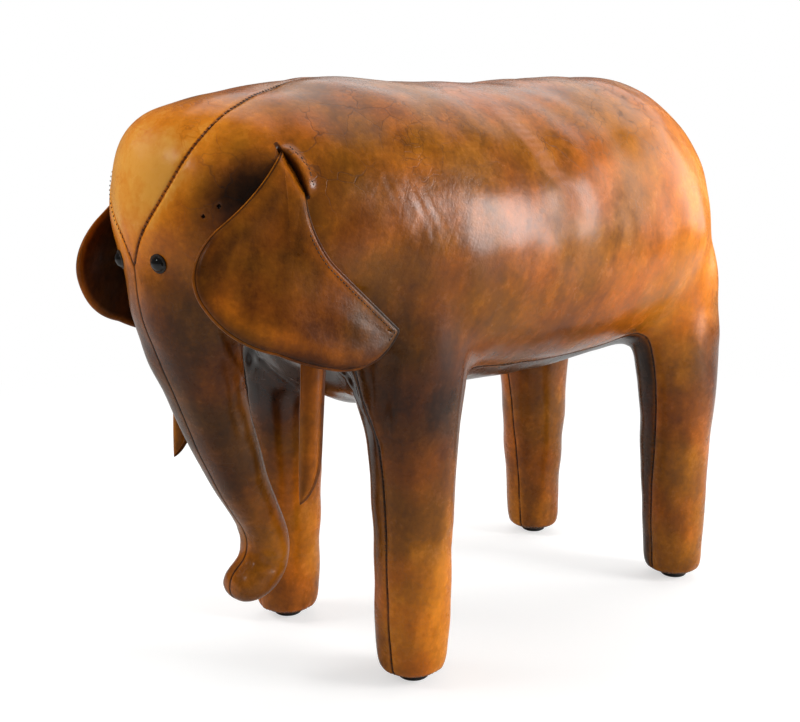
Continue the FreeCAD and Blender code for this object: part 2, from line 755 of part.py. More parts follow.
def rod_path():
    bend, run = size("rod_bend"), 0.0
    for _ in range(8):
        turn = run / size("trunk_bow_radius")
        run = bend * (1 + math.sin(turn)) - (ROD_Z - size("trunk_z"))
    bow_end = size("trunk_bow_radius") * math.radians(size("trunk_bow_turn"))
    points = [trunk_point(r) for r in (run, bow_end / 2, bow_end)]
    y, z, heading = points[0]
    turn = math.radians(heading)
    hub = V(0, y + bend * math.cos(turn), z + bend * math.sin(turn))
    half = (math.pi / 2 + turn) / 2
    over = hub + V(0, -bend * math.sin(half), bend * math.cos(half))
    start = hub + V(0, 0, bend)
    rear = V(0, size("rod_rear_y"), ROD_Z)
    ends = [V(0, q[0], q[1]) for q in points]
    arcs = [Part.Arc(start, over, ends[0]).toShape(), Part.Arc(*ends).toShape()]
    return Part.Wire([Part.makeLine(rear, start)] + arcs)


def swept(name, path, radius):
    """Round wire along a path."""
    first = path.Edges[0]
    start = first.FirstParameter
    loop = Part.Wire(Part.makeCircle(radius, first.valueAt(start), first.tangentAt(start)))
    section, spine_wire = shape(name + "_section", loop), shape(name + "_path", path)
    obj = doc.addObject("Part::Sweep", name)
    obj.Sections = [section]
    obj.Spine = (spine_wire, [f"Edge{k + 1}" for k in range(len(path.Edges))])
    obj.Solid = True
    obj.Frenet = False
    return obj


def staple_path(y):
    reach = size("rod_radius") + size("staple_wire") + 0.1
    low = ROD_Z - size("rod_radius") - size("staple_depth")
    slant = reach * math.sqrt(0.5)
    top = V(0, y, ROD_Z + reach)
    left, right = V(-reach, y, ROD_Z), V(reach, y, ROD_Z)
    return Part.Wire([
        Part.makeLine(V(-reach, y, low), left),
        Part.Arc(left, V(-slant, y, ROD_Z + slant), top).toShape(),
        Part.Arc(top, V(slant, y, ROD_Z + slant), right).toShape(),
        Part.makeLine(right, V(reach, y, low)),
    ])


def staple(name, y, grow=0.0):
    return swept(name, staple_path(y), size("staple_wire") + grow)


STAPLES = (size("rod_rear_y") - 18, size("spine_front_y") + 22)
trunk_rod = swept("trunk_rod", rod_path(), size("rod_radius"))
rod_space = swept("trunk_rod_space", rod_path(), size("rod_radius") + size("cut_gap"))
rod_staples = group("rod_staples", *[staple(f"staple_{k}", y) for k, y in enumerate(STAPLES)])
staple_holes = [staple(f"staple_hole_{k}", y, size("fit_gap")) for k, y in enumerate(STAPLES)]
spine_board = cut("spine_board", spine("spine_blank", "0"), *screw_holes.values(), *staple_holes)

# Packing: barrel in two lengths, then trunk and legs cut by the barrel, all hollowed for the frame.
packing_barrel, packing_trunk, packing_legs = forms("packing", PACKED)
clear_barrel = barrel("clear_barrel", CLEAR)
timber_space = [spine("spine_space", "cut_gap"), *rail_spaces, *post_spaces]
frame_space = fuse("frame_space", *timber_space, rod_space, *staple_holes)
behind = box("behind_neck", "600", "800", "800", "-300", "neck_y + cut_gap / 2", "0")
ahead = box("ahead_of_neck", "600", "800", "800", "-300", "neck_y - cut_gap / 2 - 800", "0")
body_packing = cut("body_packing", common("body_form", packing_barrel, behind), frame_space)
head_form = common("head_form", packing_barrel, ahead)
head_packing = cut("head_packing", head_form, frame_space, *slits, *pin_holes)
trunk_packing = cut("trunk_packing", packing_trunk, clear_barrel, rod_space)
leg_packings = {}
PACKED_LEG = dict(zip([(e, s) for s in SIDES for e in RAIL_Y], packing_legs))
POST_SPACE = dict(zip(CORNERS, post_spaces))
for end in RAIL_Y:
    around = [clear_barrel, floor_clear, POST_SPACE[(end, "left")], *rail_spaces]
    made = cut(f"{end}_left_leg_packing", PACKED_LEG[(end, "left")], *around)
    leg_packings[(end, "left")] = made
    leg_packings[(end, "right")] = mirrored(f"{end}_right_leg_packing", made)


# Tusks and tail: sewn leather sleeves over a core, hanging from a rounded root just clear of the skin.
def seat(start, away, reach):
    """Centre of a rounded root, at a given reach from the skin."""
    point, _ = surface_hit(start, start + away * 900)
    step = reach
    for _ in range(6):
        centre = point - away * step
        step += reach - outer.Shape.distToShape(Part.Vertex(centre))[0]
    return point - away * step


class Hanger:
    """A sewn sleeve with a core, tapering down from a domed root; bend 1 leans, bend 2 sweeps."""

    def __init__(self, name, centre, shift, bend, flat, tip):
        self.name, self.centre = name, centre
        self.radius, self.length = size(f"{name}_root_radius"), size(f"{name}_length")
        self.shift, self.bend, self.flat, self.tip = shift, bend, flat, tip

    def form(self, tag, inset):
        """Rounded root above, then rings down to a narrow tip, all drawn in by the inset."""
        rings = []
        inner, long = self.radius - inset, self.length - 3 * inset
        for angle in (66, 38):
            up = math.radians(angle)
            width = inner * math.cos(up)
            at = self.centre + V(0, 0, inner * math.sin(up))
            rings.append((oval(width * self.flat, width, width), at, 0))
        for down in (0.0, 0.06, 0.15, 0.35, 0.6, 0.8, 0.93, 1.0):
            width = inner * (1 - (1 - self.tip) * down**2.2)
            if down == 1.0:
                width *= 0.5
            at = self.centre + V(0, self.shift * down**self.bend, -long * down)
            rings.append((oval(width * self.flat, width, width), at, 0))
        return loft(tag, rings)

    def pieces(self, prefix):
        wall = size(f"{self.name}_leather")
        skin = [self.form(f"{prefix}_{tag}", inset) for tag, inset in (("out", 0.0), ("in", wall))]
        return cut(f"{prefix}_cover", *skin), self.form(f"{prefix}_core", wall + size("cut_gap"))


tusk_reach = size("tusk_root_radius") + size("tusk_seat_gap")
tusk_centre = seat(V(size("tusk_x"), size("tusk_y"), 0), V(0, 0, 1), tusk_reach)
tusk = Hanger("tusk", tusk_centre, -size("tusk_sweep"), 2, 0.85, 0.3)
left_tusk_cover, left_tusk_core = tusk.pieces("left_tusk")
right_tusk_cover = mirrored("right_tusk_cover", left_tusk_cover)
right_tusk_core = mirrored("right_tusk_core", left_tusk_core)
tail_reach = size("tail_root_radius") + size("tail_seat_gap")
tail_centre = seat(V(0, 600, size("tail_z")), V(0, -1, 0), tail_reach)
tail_tip = size("tail_tip_radius") / size("tail_root_radius")
tail = Hanger("tail", tail_centre, size("tail_lean"), 1, 1.0, tail_tip)
tail_cover, tail_core = tail.pieces("tail")

NODES = [left_side_panel, right_side_panel, forehead_gusset, belly_gusset]
NODES += [left_ear_outer, left_ear_inner, left_ear_root, right_ear_outer, right_ear_inner, right_ear_root]
NODES += [left_eye, right_eye, eye_pins, left_tusk_cover, left_tusk_core, right_tusk_cover, right_tusk_core]
NODES += [tail_cover, tail_core, body_packing, head_packing, trunk_packing, *leg_packings.values()]
NODES += [*posts.values(), *rails.values(), spine_board, trunk_rod, rod_staples, dowels, spine_screws]
NODES += [*soles.values(), *feet.values(), foot_screws]
doc.recompute()

faults = [f"{o.Label}: {o.State}" for o in doc.Objects if {"Invalid", "Error"} & set(o.State)]
for node in NODES:
    node.Label = node.Name
    if node.Shape.isNull() or not node.Shape.isValid():
        faults.append(f"{node.Label}: no valid shape")
if faults:
    raise RuntimeError("; ".join(faults))
os.makedirs("parts", exist_ok=True)
for node in NODES:
    node.Shape.exportStep(f"parts/{node.Label}.step")
    print(node.Label, len(node.Shape.Solids), round(node.Shape.Volume))
print("ear hinge", tuple(EAR_TOP + EAR_AXIS * (size("ear_slit") / 2)), tuple(EAR_AXIS))
print("tusk root", tuple(tusk_centre))
print("tail root", tuple(tail_centre))
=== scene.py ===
# %% [markdown]
# # Leather elephant footstool
# A stool in the shape of a standing elephant: thick waxed hide, sewn by hand and packed hard over a
# timber frame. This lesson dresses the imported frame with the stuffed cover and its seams, the ears,
# the tusks, the tail, the eyes, and the finish of each surface. The elephant faces -Y, and its left
# side is +X.

# %% Load the frame
import json
import math

import bpy
import numpy as np
from mathutils import Matrix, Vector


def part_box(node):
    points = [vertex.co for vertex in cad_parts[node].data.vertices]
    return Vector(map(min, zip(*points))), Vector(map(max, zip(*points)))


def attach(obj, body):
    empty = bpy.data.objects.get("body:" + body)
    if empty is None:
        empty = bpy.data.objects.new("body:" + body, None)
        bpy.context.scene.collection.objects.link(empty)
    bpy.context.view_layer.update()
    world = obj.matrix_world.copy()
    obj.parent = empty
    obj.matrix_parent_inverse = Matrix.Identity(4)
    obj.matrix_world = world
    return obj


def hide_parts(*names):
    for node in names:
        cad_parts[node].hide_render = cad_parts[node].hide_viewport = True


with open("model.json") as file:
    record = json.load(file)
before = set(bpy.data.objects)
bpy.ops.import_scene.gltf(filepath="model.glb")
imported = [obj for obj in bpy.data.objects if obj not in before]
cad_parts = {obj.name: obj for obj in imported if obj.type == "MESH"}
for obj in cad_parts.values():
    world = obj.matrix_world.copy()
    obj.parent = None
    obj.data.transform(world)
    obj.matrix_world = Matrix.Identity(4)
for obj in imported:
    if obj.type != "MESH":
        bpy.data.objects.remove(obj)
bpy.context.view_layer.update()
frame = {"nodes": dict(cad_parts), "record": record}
MM = 0.001

# %% [markdown]
# ## Helpers
# All shapes are worked out in millimetres as numpy arrays. One function puts such an array into a
# mesh, and one joins rings into a closed skin. Smooth curves through a few knots come from a cubic
# whose slopes are taken from the neighbouring knots.


# %% Small helpers
def put_mesh(name, points, faces):
    """Smooth-shaded mesh object at the origin, from points in millimetres and arrays of corners."""
    mesh = bpy.data.meshes.new(name)
    corners = [face for block in faces for face in block.tolist()]
    mesh.from_pydata((np.asarray(points) * MM).tolist(), [], corners)
    mesh.polygons.foreach_set("use_smooth", np.ones(len(mesh.polygons), bool))
    mesh.update()
    obj = bpy.data.objects.new(name, mesh)
    bpy.context.scene.collection.objects.link(obj)
    return obj


def get_points(mesh):
    """Vertex places of a mesh, in millimetres."""
    flat = np.empty(len(mesh.vertices) * 3)
    mesh.vertices.foreach_get("co", flat)
    return flat.reshape(-1, 3) / MM


def set_attribute(obj, name, values):
    """One number per vertex, or one for all of them, for a material to read."""
    layer = obj.data.attributes.new(name, "FLOAT", "POINT")
    layer.data.foreach_set("value", np.full(len(obj.data.vertices), values, np.float32))


def skin_rings(rings):
    """Closed skin over rings (rows, columns, 3): quads between rows, a fan to each end's pole."""
    rows, cols = rings.shape[:2]
    here = np.arange(rows * cols).reshape(rows, cols)
    after = np.roll(here, -1, axis=1)
    quads = np.stack([here[:-1], after[:-1], after[1:], here[1:]], -1).reshape(-1, 4)
    low, high = rows * cols, rows * cols + 1
    floor_fan = np.stack([after[0], here[0], np.full(cols, low)], -1)
    top_fan = np.stack([here[-1], after[-1], np.full(cols, high)], -1)
    points = np.concatenate([rings.reshape(-1, 3), rings[:1].mean(1), rings[-1:].mean(1)])
    return points, [quads, floor_fan, top_fan]


def smooth_curve(knots, values, at):
    """Cubic through the knots; the slope at a knot is the mean slope of the spans beside it."""
    knots, values = np.asarray(knots, float), np.asarray(values, float)
    span = np.diff(values) / np.diff(knots)
    slope = np.concatenate([span[:1], (span[:-1] + span[1:]) / 2, span[-1:]])
    k = np.clip(np.searchsorted(knots, at) - 1, 0, len(knots) - 2)
    width = knots[k + 1] - knots[k]
    t = (at - knots[k]) / width
    inside = np.clip(t, 0, 1)
    a, b = values[k], values[k + 1]
    rise = inside * inside * (3 - 2 * inside)
    bend = inside * (1 - inside) * width * (slope[k] * (1 - inside) - slope[k + 1] * inside)
    before, after = t * width * slope[k], (t - 1) * width * slope[k + 1]
    beyond = np.where(t < 0, before, np.where(t > 1, after, 0))
    return a + (b - a) * rise + bend + beyond


def ease(low, high, value):
    """Nought below low, one above high, with a smooth rise between."""
    t = np.clip((value - low) / (high - low), 0, 1)
    return t * t * (3 - 2 * t)


def unit(vectors):
    """Vectors of length one."""
    return vectors / np.maximum(np.linalg.norm(vectors, axis=-1, keepdims=True), 1e-12)


# %% [markdown]
# ## Camera, light and floor
# The stool was seen from its left front at 48 degrees and from 10 degrees above. A large soft lamp
# stands to the right of the camera, where its reflection lands on the flank, and pale surroundings
# light the rest. The floor is pale and keeps the shadow; its own white shows to the camera alone.

# %% Camera and light
AZIMUTH, ELEVATION, DISTANCE = math.radians(48.4), math.radians(10.1), 1085.0
TARGET = np.array([0.0, -57.6, 273.0])
right = np.array([math.cos(AZIMUTH), math.sin(AZIMUTH), 0.0])
level = math.cos(ELEVATION)
back = np.array([math.sin(AZIMUTH) * level, -math.cos(AZIMUTH) * level, math.sin(ELEVATION)])
up = np.cross(back, right)
scene = bpy.context.scene


def aim(obj, place, x_axis, y_axis, z_axis):
    """Stands a camera or lamp at a place in millimetres; it looks along its own -Z."""
    turned = np.eye(4)
    turned[:3, :3] = np.stack([x_axis, y_axis, z_axis], 1)
    turned[:3, 3] = place * MM
    obj.matrix_world = Matrix(turned.tolist())
    scene.collection.objects.link(obj)


camera_data = bpy.data.cameras.new("camera")
camera_data.sensor_width, camera_data.lens = 36.0, 49.5
camera_data.clip_end = 50.0
camera = bpy.data.objects.new("camera", camera_data)
aim(camera, TARGET + back * DISTANCE, right, up, back)
scene.camera = camera


def softbox(name, toward, away, wide, tall, power, lights=True, gleams=True):
    """Lamp of a width and height, at a distance in millimetres from the stool, facing it. It may
    light the matt part of a finish, show as a gleam in the polished part, or both."""
    toward = unit(np.array(toward, float))
    lamp = bpy.data.lights.new(name, "AREA")
    lamp.shape, lamp.size, lamp.size_y, lamp.energy = "RECTANGLE", wide * MM, tall * MM, power
    side = unit(np.cross([0, 0, 1.0], toward))
    obj = bpy.data.objects.new(name, lamp)
    obj.visible_diffuse, obj.visible_glossy = lights, gleams
    aim(obj, TARGET + toward * away, side, np.cross(toward, side), toward)


KEY = (0.80, 0.53, 0.26), 1900, 640, 1040  # the way to the lamp, its distance, width and height
softbox("key_lamp", *KEY, 30)
softbox("key_gleam", *KEY, 24, lights=False)
softbox("top_lamp", (-0.25, 0.50, 0.80), 2200, 2300, 2300, 22)
softbox("rear_lamp", (0.30, 0.92, 0.30), 2300, 1300, 1300, 12)
softbox("front_lamp", (-0.50, -0.62, 0.60), 2200, 1100, 1100, 26, gleams=False)
softbox("eye_gleam", (0.10, -0.80, 0.60), 2200, 300, 300, 3, lights=False)
print("camera at", np.round(np.array(camera.location), 3), "lens", camera_data.lens)


# %% Node helpers
def add(tree, kind, links=None, **settings):
    """Adds one node: settings are its properties, links fill its inputs with values or sockets."""
    made = tree.nodes.new(kind)
    for key, value in settings.items():
        setattr(made, key, value)
    for key, value in (links or {}).items():
        if isinstance(value, bpy.types.NodeSocket):
            tree.links.new(value, made.inputs[key])
        else:
            made.inputs[key].default_value = value
    return made


def linear(shade):
    """sRGB hex to linear: c / 12.92 when dark, else ((c + 0.055) / 1.055) to the power 2.4."""
    c = np.array([int(shade[k:k + 2], 16) for k in (1, 3, 5)]) / 255
    return (*np.where(c <= 0.04045, c / 12.92, ((c + 0.055) / 1.055) ** 2.4), 1.0)


def weighted(tree, *terms):
    """Sum of values, each times its weight, by a chain of multiply-and-add nodes."""
    total = 0.0
    for value, weight in terms:
        total = add(tree, "ShaderNodeMath", {0: value, 1: weight, 2: total},
                    operation="MULTIPLY_ADD").outputs[0]
    return total


def product(tree, first, *others):
    """Product of values, by a chain of multiply nodes."""
    for other in others:
        first = add(tree, "ShaderNodeMath", {0: first, 1: other}, operation="MULTIPLY").outputs[0]
    return first


def mapped(tree, value, low, high, at_low=0.0, at_high=1.0):
    """Value moved from one span to another, smoothly and without overshoot."""
    return add(tree, "ShaderNodeMapRange", {0: value, 1: low, 2: high, 3: at_low, 4: at_high},
               interpolation_type="SMOOTHSTEP").outputs[0]


# %% Pale room
ROOM, ROOM_SEEN, ROOM_GLEAM = 0.32, 0.68, -0.21  # for every ray; added for camera and glossy rays
world = bpy.data.worlds.new("pale_room")
scene.world = world
world.use_nodes = True
tree = world.node_tree
tree.nodes.clear()
ray = add(tree, "ShaderNodeLightPath").outputs
strength = weighted(tree, (ROOM, 1.0), (ray["Is Camera Ray"], ROOM_SEEN),
                    (ray["Is Glossy Ray"], ROOM_GLEAM))
sky = add(tree, "ShaderNodeBackground", {"Color": linear("#FFFFFF"), "Strength": strength})
add(tree, "ShaderNodeOutputWorld", {"Surface": sky.outputs[0]})
scene.view_settings.view_transform = "Standard"
print("room:", len(tree.nodes), "nodes")

# %% Floor
PAPER_GLOW, PAPER_FADE = 0.56, (0.45, 1.5)  # own light, and where it turns white, in metres
FLOOR_HALF = 9000.0


def new_finish(name):
    """Empty material, its node tree and the Object coordinates in it."""
    made = bpy.data.materials.new(name)
    made.use_nodes = True
    made.node_tree.nodes.clear()
    return made, made.node_tree, add(made.node_tree, "ShaderNodeTexCoord").outputs["Object"]


paper, tree, place = new_finish("pale_paper_floor")
to_camera = add(tree, "ShaderNodeLightPath").outputs["Is Camera Ray"]
matt = add(tree, "ShaderNodeBsdfDiffuse", {"Color": linear("#C4C4C3")})
glow = product(tree, to_camera, PAPER_GLOW)
light = add(tree, "ShaderNodeEmission", {"Color": linear("#FFFFFF"), "Strength": glow})
near = add(tree, "ShaderNodeAddShader", {0: matt.outputs[0], 1: light.outputs[0]})
white = add(tree, "ShaderNodeEmission", {"Color": linear("#FFFFFF"), "Strength": 1.0})
away = add(tree, "ShaderNodeVectorMath", {0: place}, operation="LENGTH").outputs["Value"]
fade = product(tree, mapped(tree, away, *PAPER_FADE), to_camera)
sweep = add(tree, "ShaderNodeMixShader", {0: fade, 1: near.outputs[0], 2: white.outputs[0]})
add(tree, "ShaderNodeOutputMaterial", {"Surface": sweep.outputs[0]})
corners = np.array([[-1, -1, 0], [1, -1, 0], [1, 1, 0], [-1, 1, 0]]) * FLOOR_HALF
floor = put_mesh("floor", corners, [np.array([[0, 1, 2, 3]])])
floor.data.materials.append(paper)
print("floor and paper ready")

# %% [markdown]
# ## The stuffed form
# Under the hide the packing has three kinds of rounded form: a barrel that runs from forehead to
# rump, a trunk that bows back and curls forward, and four legs that swell into the barrel. Each is
# a stack of ovals along a middle line. They could be joined with booleans, but a voxel remesh gives
# one even skin over all of them, which cloth can then pull tight.

# %% Oval rings
OVAL_CORNER = math.radians(52)


def oval(half, tall_up, tall_down, turns):
    """Oval of tangent arcs, each point found from the direction of its outward normal: a side arc
    up to 52 degrees, then a flatter arc over the top. Sizes are columns, turns a row; gives x and
    z."""
    tall = np.where(np.sin(turns) >= 0, tall_up, tall_down)
    spread = (half - tall) / (math.sin(OVAL_CORNER) + math.cos(OVAL_CORNER) - 1)
    side = half - spread * math.cos(OVAL_CORNER)
    flat = side + spread
    along, rise = np.abs(np.cos(turns)), np.abs(np.sin(turns))
    on_side = rise <= math.sin(OVAL_CORNER)
    x = np.where(on_side, half - side + side * along, flat * along)
    z = np.where(on_side, side * rise, tall - flat + flat * rise)
    return np.copysign(x, np.cos(turns)), np.copysign(z, np.sin(turns))


TURNS = np.linspace(0, 2 * np.pi, 96, endpoint=False)[None, :]


def column(*values):
    """Each array as a column, so that it spreads over a ring's turns."""
    return [np.asarray(v, float)[:, None] for v in values]


# %% Barrel of body and head
CROWN_Y, GIRTH_Y, RUMP_Y = -349.0, 70.0, 333.0
GIRTH_HALF = 166.0
CROWN_Z, CORE_Z, RUMP_Z = 436.0, 392.0, 388.0
NAPE, CROUP, SADDLE_DIP = (-155.0, 541.0), (220.0, 567.0), 9.0
CHEST, LOIN = (-130.0, 223.0), (170.0, 250.0)
# the hide is drawn up in the throat, behind the trunk, and along the belly between the legs
LIFT_Y = [-349, -310, -275, -240, -205, -165, -130, -95, -50, 0, 70, 170, 250, 333]
LIFT = [0, 0, 25, 58, 52, 20, -2, 6, 15, 14, 10, 5, 0, 0]
# bluntness of the front and the rear end: in plan, over the top, underneath
BLUNT_PLAN, BLUNT_OVER, BLUNT_UNDER = (2.3, 2.8), (4.6, 3.3), (2.1, 3.0)
LAST_RING, CLOSING = 84, np.array([0.9, 0.7, 0.4])  # in degrees; shares of it that close an end


def close_end(ring, end_y):
    """Smaller and smaller copies of the last ring, on a quarter round up to the end."""
    shares = CLOSING[:, None, None]
    middle = np.array([0, ring[0, 1], ring[:, 2].mean()])
    made = middle + (ring - middle)[None] * shares
    made[..., 1] = ring[0, 1] + (end_y - ring[0, 1]) * np.sqrt(1 - shares[..., 0] ** 2)
    return made


def barrel_rings():
    """Upright ovals from forehead to rump. At a share t of the way to an end, a size is its girth
    size times (1 - t^n)^(1/n): a higher n makes a blunter end."""
    angle = np.radians(np.linspace(-LAST_RING, LAST_RING, 85))
    share, front = np.abs(np.sin(angle)), angle < 0
    y = GIRTH_Y + share * np.where(front, CROWN_Y - GIRTH_Y, RUMP_Y - GIRTH_Y)
    along = (y - NAPE[0]) / (CROUP[0] - NAPE[0])
    dip = SADDLE_DIP * np.sin(np.pi * np.clip(along, 0, 1))
    top = NAPE[1] + (CROUP[1] - NAPE[1]) * along - dip
    low = CHEST[1] + (LOIN[1] - CHEST[1]) * (y - CHEST[0]) / (LOIN[0] - CHEST[0])
    core = CORE_Z + (np.where(front, CROWN_Z, RUMP_Z) - CORE_Z) * share**2
    plan, over, under = (np.where(front, *pair) for pair in (BLUNT_PLAN, BLUNT_OVER, BLUNT_UNDER))
    half = GIRTH_HALF * (1 - share**plan) ** (1 / plan)
    above = (top - core) * (1 - share**over) ** (1 / over)
    below = (core - low) * (1 - share**under) ** (1 / under) - smooth_curve(LIFT_Y, LIFT, y)
    x, z = oval(*column(half, above, below), TURNS)
    rings = np.stack([x, np.broadcast_to(y[:, None], x.shape), z + core[:, None]], -1)
    front_end, rear_end = close_end(rings[0], CROWN_Y)[::-1], close_end(rings[-1], RUMP_Y)
    return np.concatenate([front_end, rings, rear_end])


# %% Trunk
TRUNK_START = (-293.0, 402.0)
TRUNK_ARCS = np.array([(512.0, 29.0), (70.0, -29.0), (27.0, -98.0), (150.0, -5.0)])  # radius, turn
TRUNK_SPANS = TRUNK_ARCS[:, 0] * np.radians(np.abs(TRUNK_ARCS[:, 1]))
TRUNK_LENGTH = float(TRUNK_SPANS.sum())
TRUNK_ROOT, TRUNK_TIP, TRUNK_TAPER, TRUNK_REAR = (80.0, 60.0), (24.5, 21.0), 2.5, 0.88
ROOT_DOME, ROOT_SPREAD, TIP_DOME = 60.0, 1.25, TRUNK_TIP[1] * 0.9


def running(values):
    """Running total that starts at nought."""
    return np.concatenate([[0], np.cumsum(values)])


def trunk_line(run):
    """Points of the trunk's middle line: arcs in turn, each adding its share of the turn to the
    heading, and the heading (from straight down) summed along the run. Gives y, z and heading."""
    fine = np.linspace(0, TRUNK_LENGTH, 2000)
    heading = np.interp(fine, running(TRUNK_SPANS), np.radians(running(TRUNK_ARCS[:, 1])))
    between, step = (heading[1:] + heading[:-1]) / 2, fine[1]
    y = TRUNK_START[0] + running(np.sin(between) * step)
    z = TRUNK_START[1] - running(np.cos(between) * step)
    return tuple(np.interp(run, fine, v) for v in (y, z, heading))


def trunk_rings():
    """Ovals across the middle line, tapering as (1 - share)^2.5, with a domed root and tip."""
    dome_at = TRUNK_LENGTH - TIP_DOME
    domed = dome_at + TIP_DOME * np.sin(np.radians(np.linspace(6, 86, 14)))
    run = np.concatenate([np.linspace(0, dome_at, 110), domed])
    y, z, heading = trunk_line(run)
    fade = (1 - run / TRUNK_LENGTH) ** TRUNK_TAPER
    past = np.clip((run - TRUNK_LENGTH + TIP_DOME) / TIP_DOME, 0, 1)
    past = past + np.clip((ROOT_DOME - run) / (ROOT_DOME * ROOT_SPREAD), 0, 1)
    full = np.sqrt(np.clip(1 - past**2, 0, 1))
    half, deep = ((tip + (root - tip) * fade) * full for root, tip in zip(TRUNK_ROOT, TRUNK_TIP))
    x, d = oval(*column(half, deep, deep * TRUNK_REAR), TURNS)
    y, z, heading = column(y, z, heading)
    return np.stack([x, y - d * np.cos(heading), z - d * np.sin(heading)], -1)


# %% Legs
FRONT_LEG = dict(x=97.0, y=-129.0, lean=1.0, knee=39.5, shoulder=46.0)
HIND_LEG = dict(x=106.0, y=266.0, lean=11.0, knee=42.0, shoulder=39.0)
FOOT_RADIUS, SOLE_Z, SOLE_EDGE = 32.5, 6.0, 8.0
KNEE_Z, SHOULDER_Z, LEG_CROWN_Z, SHOULDER_LONG = 225.0, 322.0, 402.0, 61.0


def leg_rings(leg, side):
    """Level ovals from the rounded foot edge up the shin and knee to a shoulder in the barrel."""
    foot, knee, wide, long = FOOT_RADIUS, leg["knee"], leg["shoulder"], SHOULDER_LONG
    edge = np.radians([0, 20, 40, 60, 80])
    edge_top, grown = SOLE_Z + SOLE_EDGE, knee - foot
    rows = np.array([  # height, half width, half length
        (edge_top + 14, foot, foot + 1),
        (KNEE_Z * 0.55, foot + grown * 0.45, foot + grown * 0.55 + 1),
        (KNEE_Z, knee, knee + 3),
        ((KNEE_Z + SHOULDER_Z) / 2, (knee + wide) / 2 + 1, (knee + long) / 2 + 3),
        (SHOULDER_Z, wide, long),
        ((SHOULDER_Z + LEG_CROWN_Z) / 2, wide * 0.93, long * 0.93),
        (LEG_CROWN_Z, wide * 0.6, long * 0.6),
    ])
    low = SOLE_Z + SOLE_EDGE * (1 - np.cos(edge))
    round_foot = foot - SOLE_EDGE * (1 - np.sin(edge))
    shin = np.linspace(edge_top + 2, LEG_CROWN_Z, 70)
    knots = [edge_top, *rows[:, 0]]
    across, along = (np.concatenate([round_foot, smooth_curve(knots, [foot, *rows[:, k]], shin)])
                     for k in (1, 2))
    z = np.concatenate([low, shin])
    shift = leg["lean"] * np.clip((z - SOLE_Z) / (SHOULDER_Z - SOLE_Z), 0, 1)
    x, y = oval(*column(across, along, along), TURNS)
    z, shift = column(z, shift)
    place = side * leg["x"] + x, leg["y"] - shift + y, np.broadcast_to(z, x.shape)
    return np.stack(place, -1)


# %% Cheek pads that the tusks are sewn to
CHEEK_PAD = np.array([92.0, -240.0, 360.0])
CHEEK_PAD_HALF = np.array([27.0, 42.0, 46.0])


def cheek_pad_rings(side):
    """Small egg of packing, low on the cheek."""
    angle = np.radians(np.linspace(-LAST_RING, LAST_RING, 25))[:, None]
    x, y = np.cos(angle) * np.cos(TURNS), np.cos(angle) * np.sin(TURNS)
    egg = np.stack([x, y, np.broadcast_to(np.sin(angle), x.shape)], -1)
    return CHEEK_PAD * np.array([side, 1, 1]) + egg * CHEEK_PAD_HALF


forms = [barrel_rings(), trunk_rings()]
forms += [leg_rings(leg, side) for leg in (FRONT_LEG, HIND_LEG) for side in (1, -1)]
forms += [cheek_pad_rings(side) for side in (1, -1)]
print("forms:", [f.shape[:2] for f in forms], "trunk", round(TRUNK_LENGTH), "mm long")


# %% One skin over all the forms
VOXEL = 5.0


def evaluated(obj):
    """Mesh of an object with its modifiers worked in; the object itself is removed."""
    depsgraph = bpy.context.evaluated_depsgraph_get()
    made = bpy.data.meshes.new_from_object(obj.evaluated_get(depsgraph))
    bpy.data.objects.remove(obj)
    return made


points, faces, offset = [], [], 0
for block_points, block_faces in map(skin_rings, forms):
    points.append(block_points)
    faces += [f + offset for f in block_faces]
    offset += len(block_points)
stuffed = put_mesh("stuffed_forms", np.concatenate(points), faces)
remesh = stuffed.modifiers.new("one_skin", "REMESH")
remesh.mode, remesh.voxel_size, remesh.use_smooth_shade = "VOXEL", VOXEL * MM, True
cover_mesh = evaluated(stuffed)
print("one skin:", len(cover_mesh.vertices), "points")

# %% [markdown]
# ## Tight over the hollows
# Hide does not follow the sharp inner corner between a leg and the belly: it spans it. So each
# point in a hollow moves towards the mean of its neighbours again and again, which fills the
# hollow, and a point on a swelling moves only a little, which takes out the voxel steps. The
# packing then pushes the hide out again: a cloth simulation with pressure, held along the seams,
# gives each panel the crown of a stuffed panel.

# %% Span the hollows
SPAN_ROUNDS, HOLLOW_RATE, SWELLING_RATE = 90, 0.5, 0.04


def links_of(mesh):
    """Both ways along every edge of a mesh, as two index arrays."""
    flat = np.empty(len(mesh.edges) * 2, np.int64)
    mesh.edges.foreach_get("vertices", flat)
    a, b = flat[0::2], flat[1::2]
    return np.concatenate([a, b]), np.concatenate([b, a])


def neighbour_mean(points, here, there):
    """Mean place of each point's neighbours."""
    count = np.bincount(here, minlength=len(points))[:, None]
    total = np.stack([np.bincount(here, points[there, k], len(points)) for k in range(3)], 1)
    return total / np.maximum(count, 1)


def outward(points, faces):
    """Unit normal at each point: the sum of the cross products of its faces' diagonals or sides."""
    a = points[faces[:, 2]] - points[faces[:, 0]]
    b = points[faces[:, -1]] - points[faces[:, 1]]
    across = np.repeat(np.cross(a, b), faces.shape[1], axis=0)
    each = [np.bincount(faces.ravel(), across[:, k], len(points)) for k in range(3)]
    return unit(np.stack(each, 1))


def quads_of(mesh):
    """Corner numbers of an all-quad mesh."""
    flat = np.empty(len(mesh.loops), np.int64)
    mesh.loops.foreach_get("vertex_index", flat)
    return flat.reshape(-1, 4)


points, quads = get_points(cover_mesh), quads_of(cover_mesh)
here, there = links_of(cover_mesh)
for _ in range(SPAN_ROUNDS):
    pull = neighbour_mean(points, here, there) - points
    lift = (pull * outward(points, quads)).sum(1, keepdims=True)
    points = points + pull * np.where(lift > 0, HOLLOW_RATE, SWELLING_RATE)
cover_mesh.vertices.foreach_set("co", (points * MM).ravel())
print("spanned; height", round(np.ptp(points[:, 2]), 1), "mm")

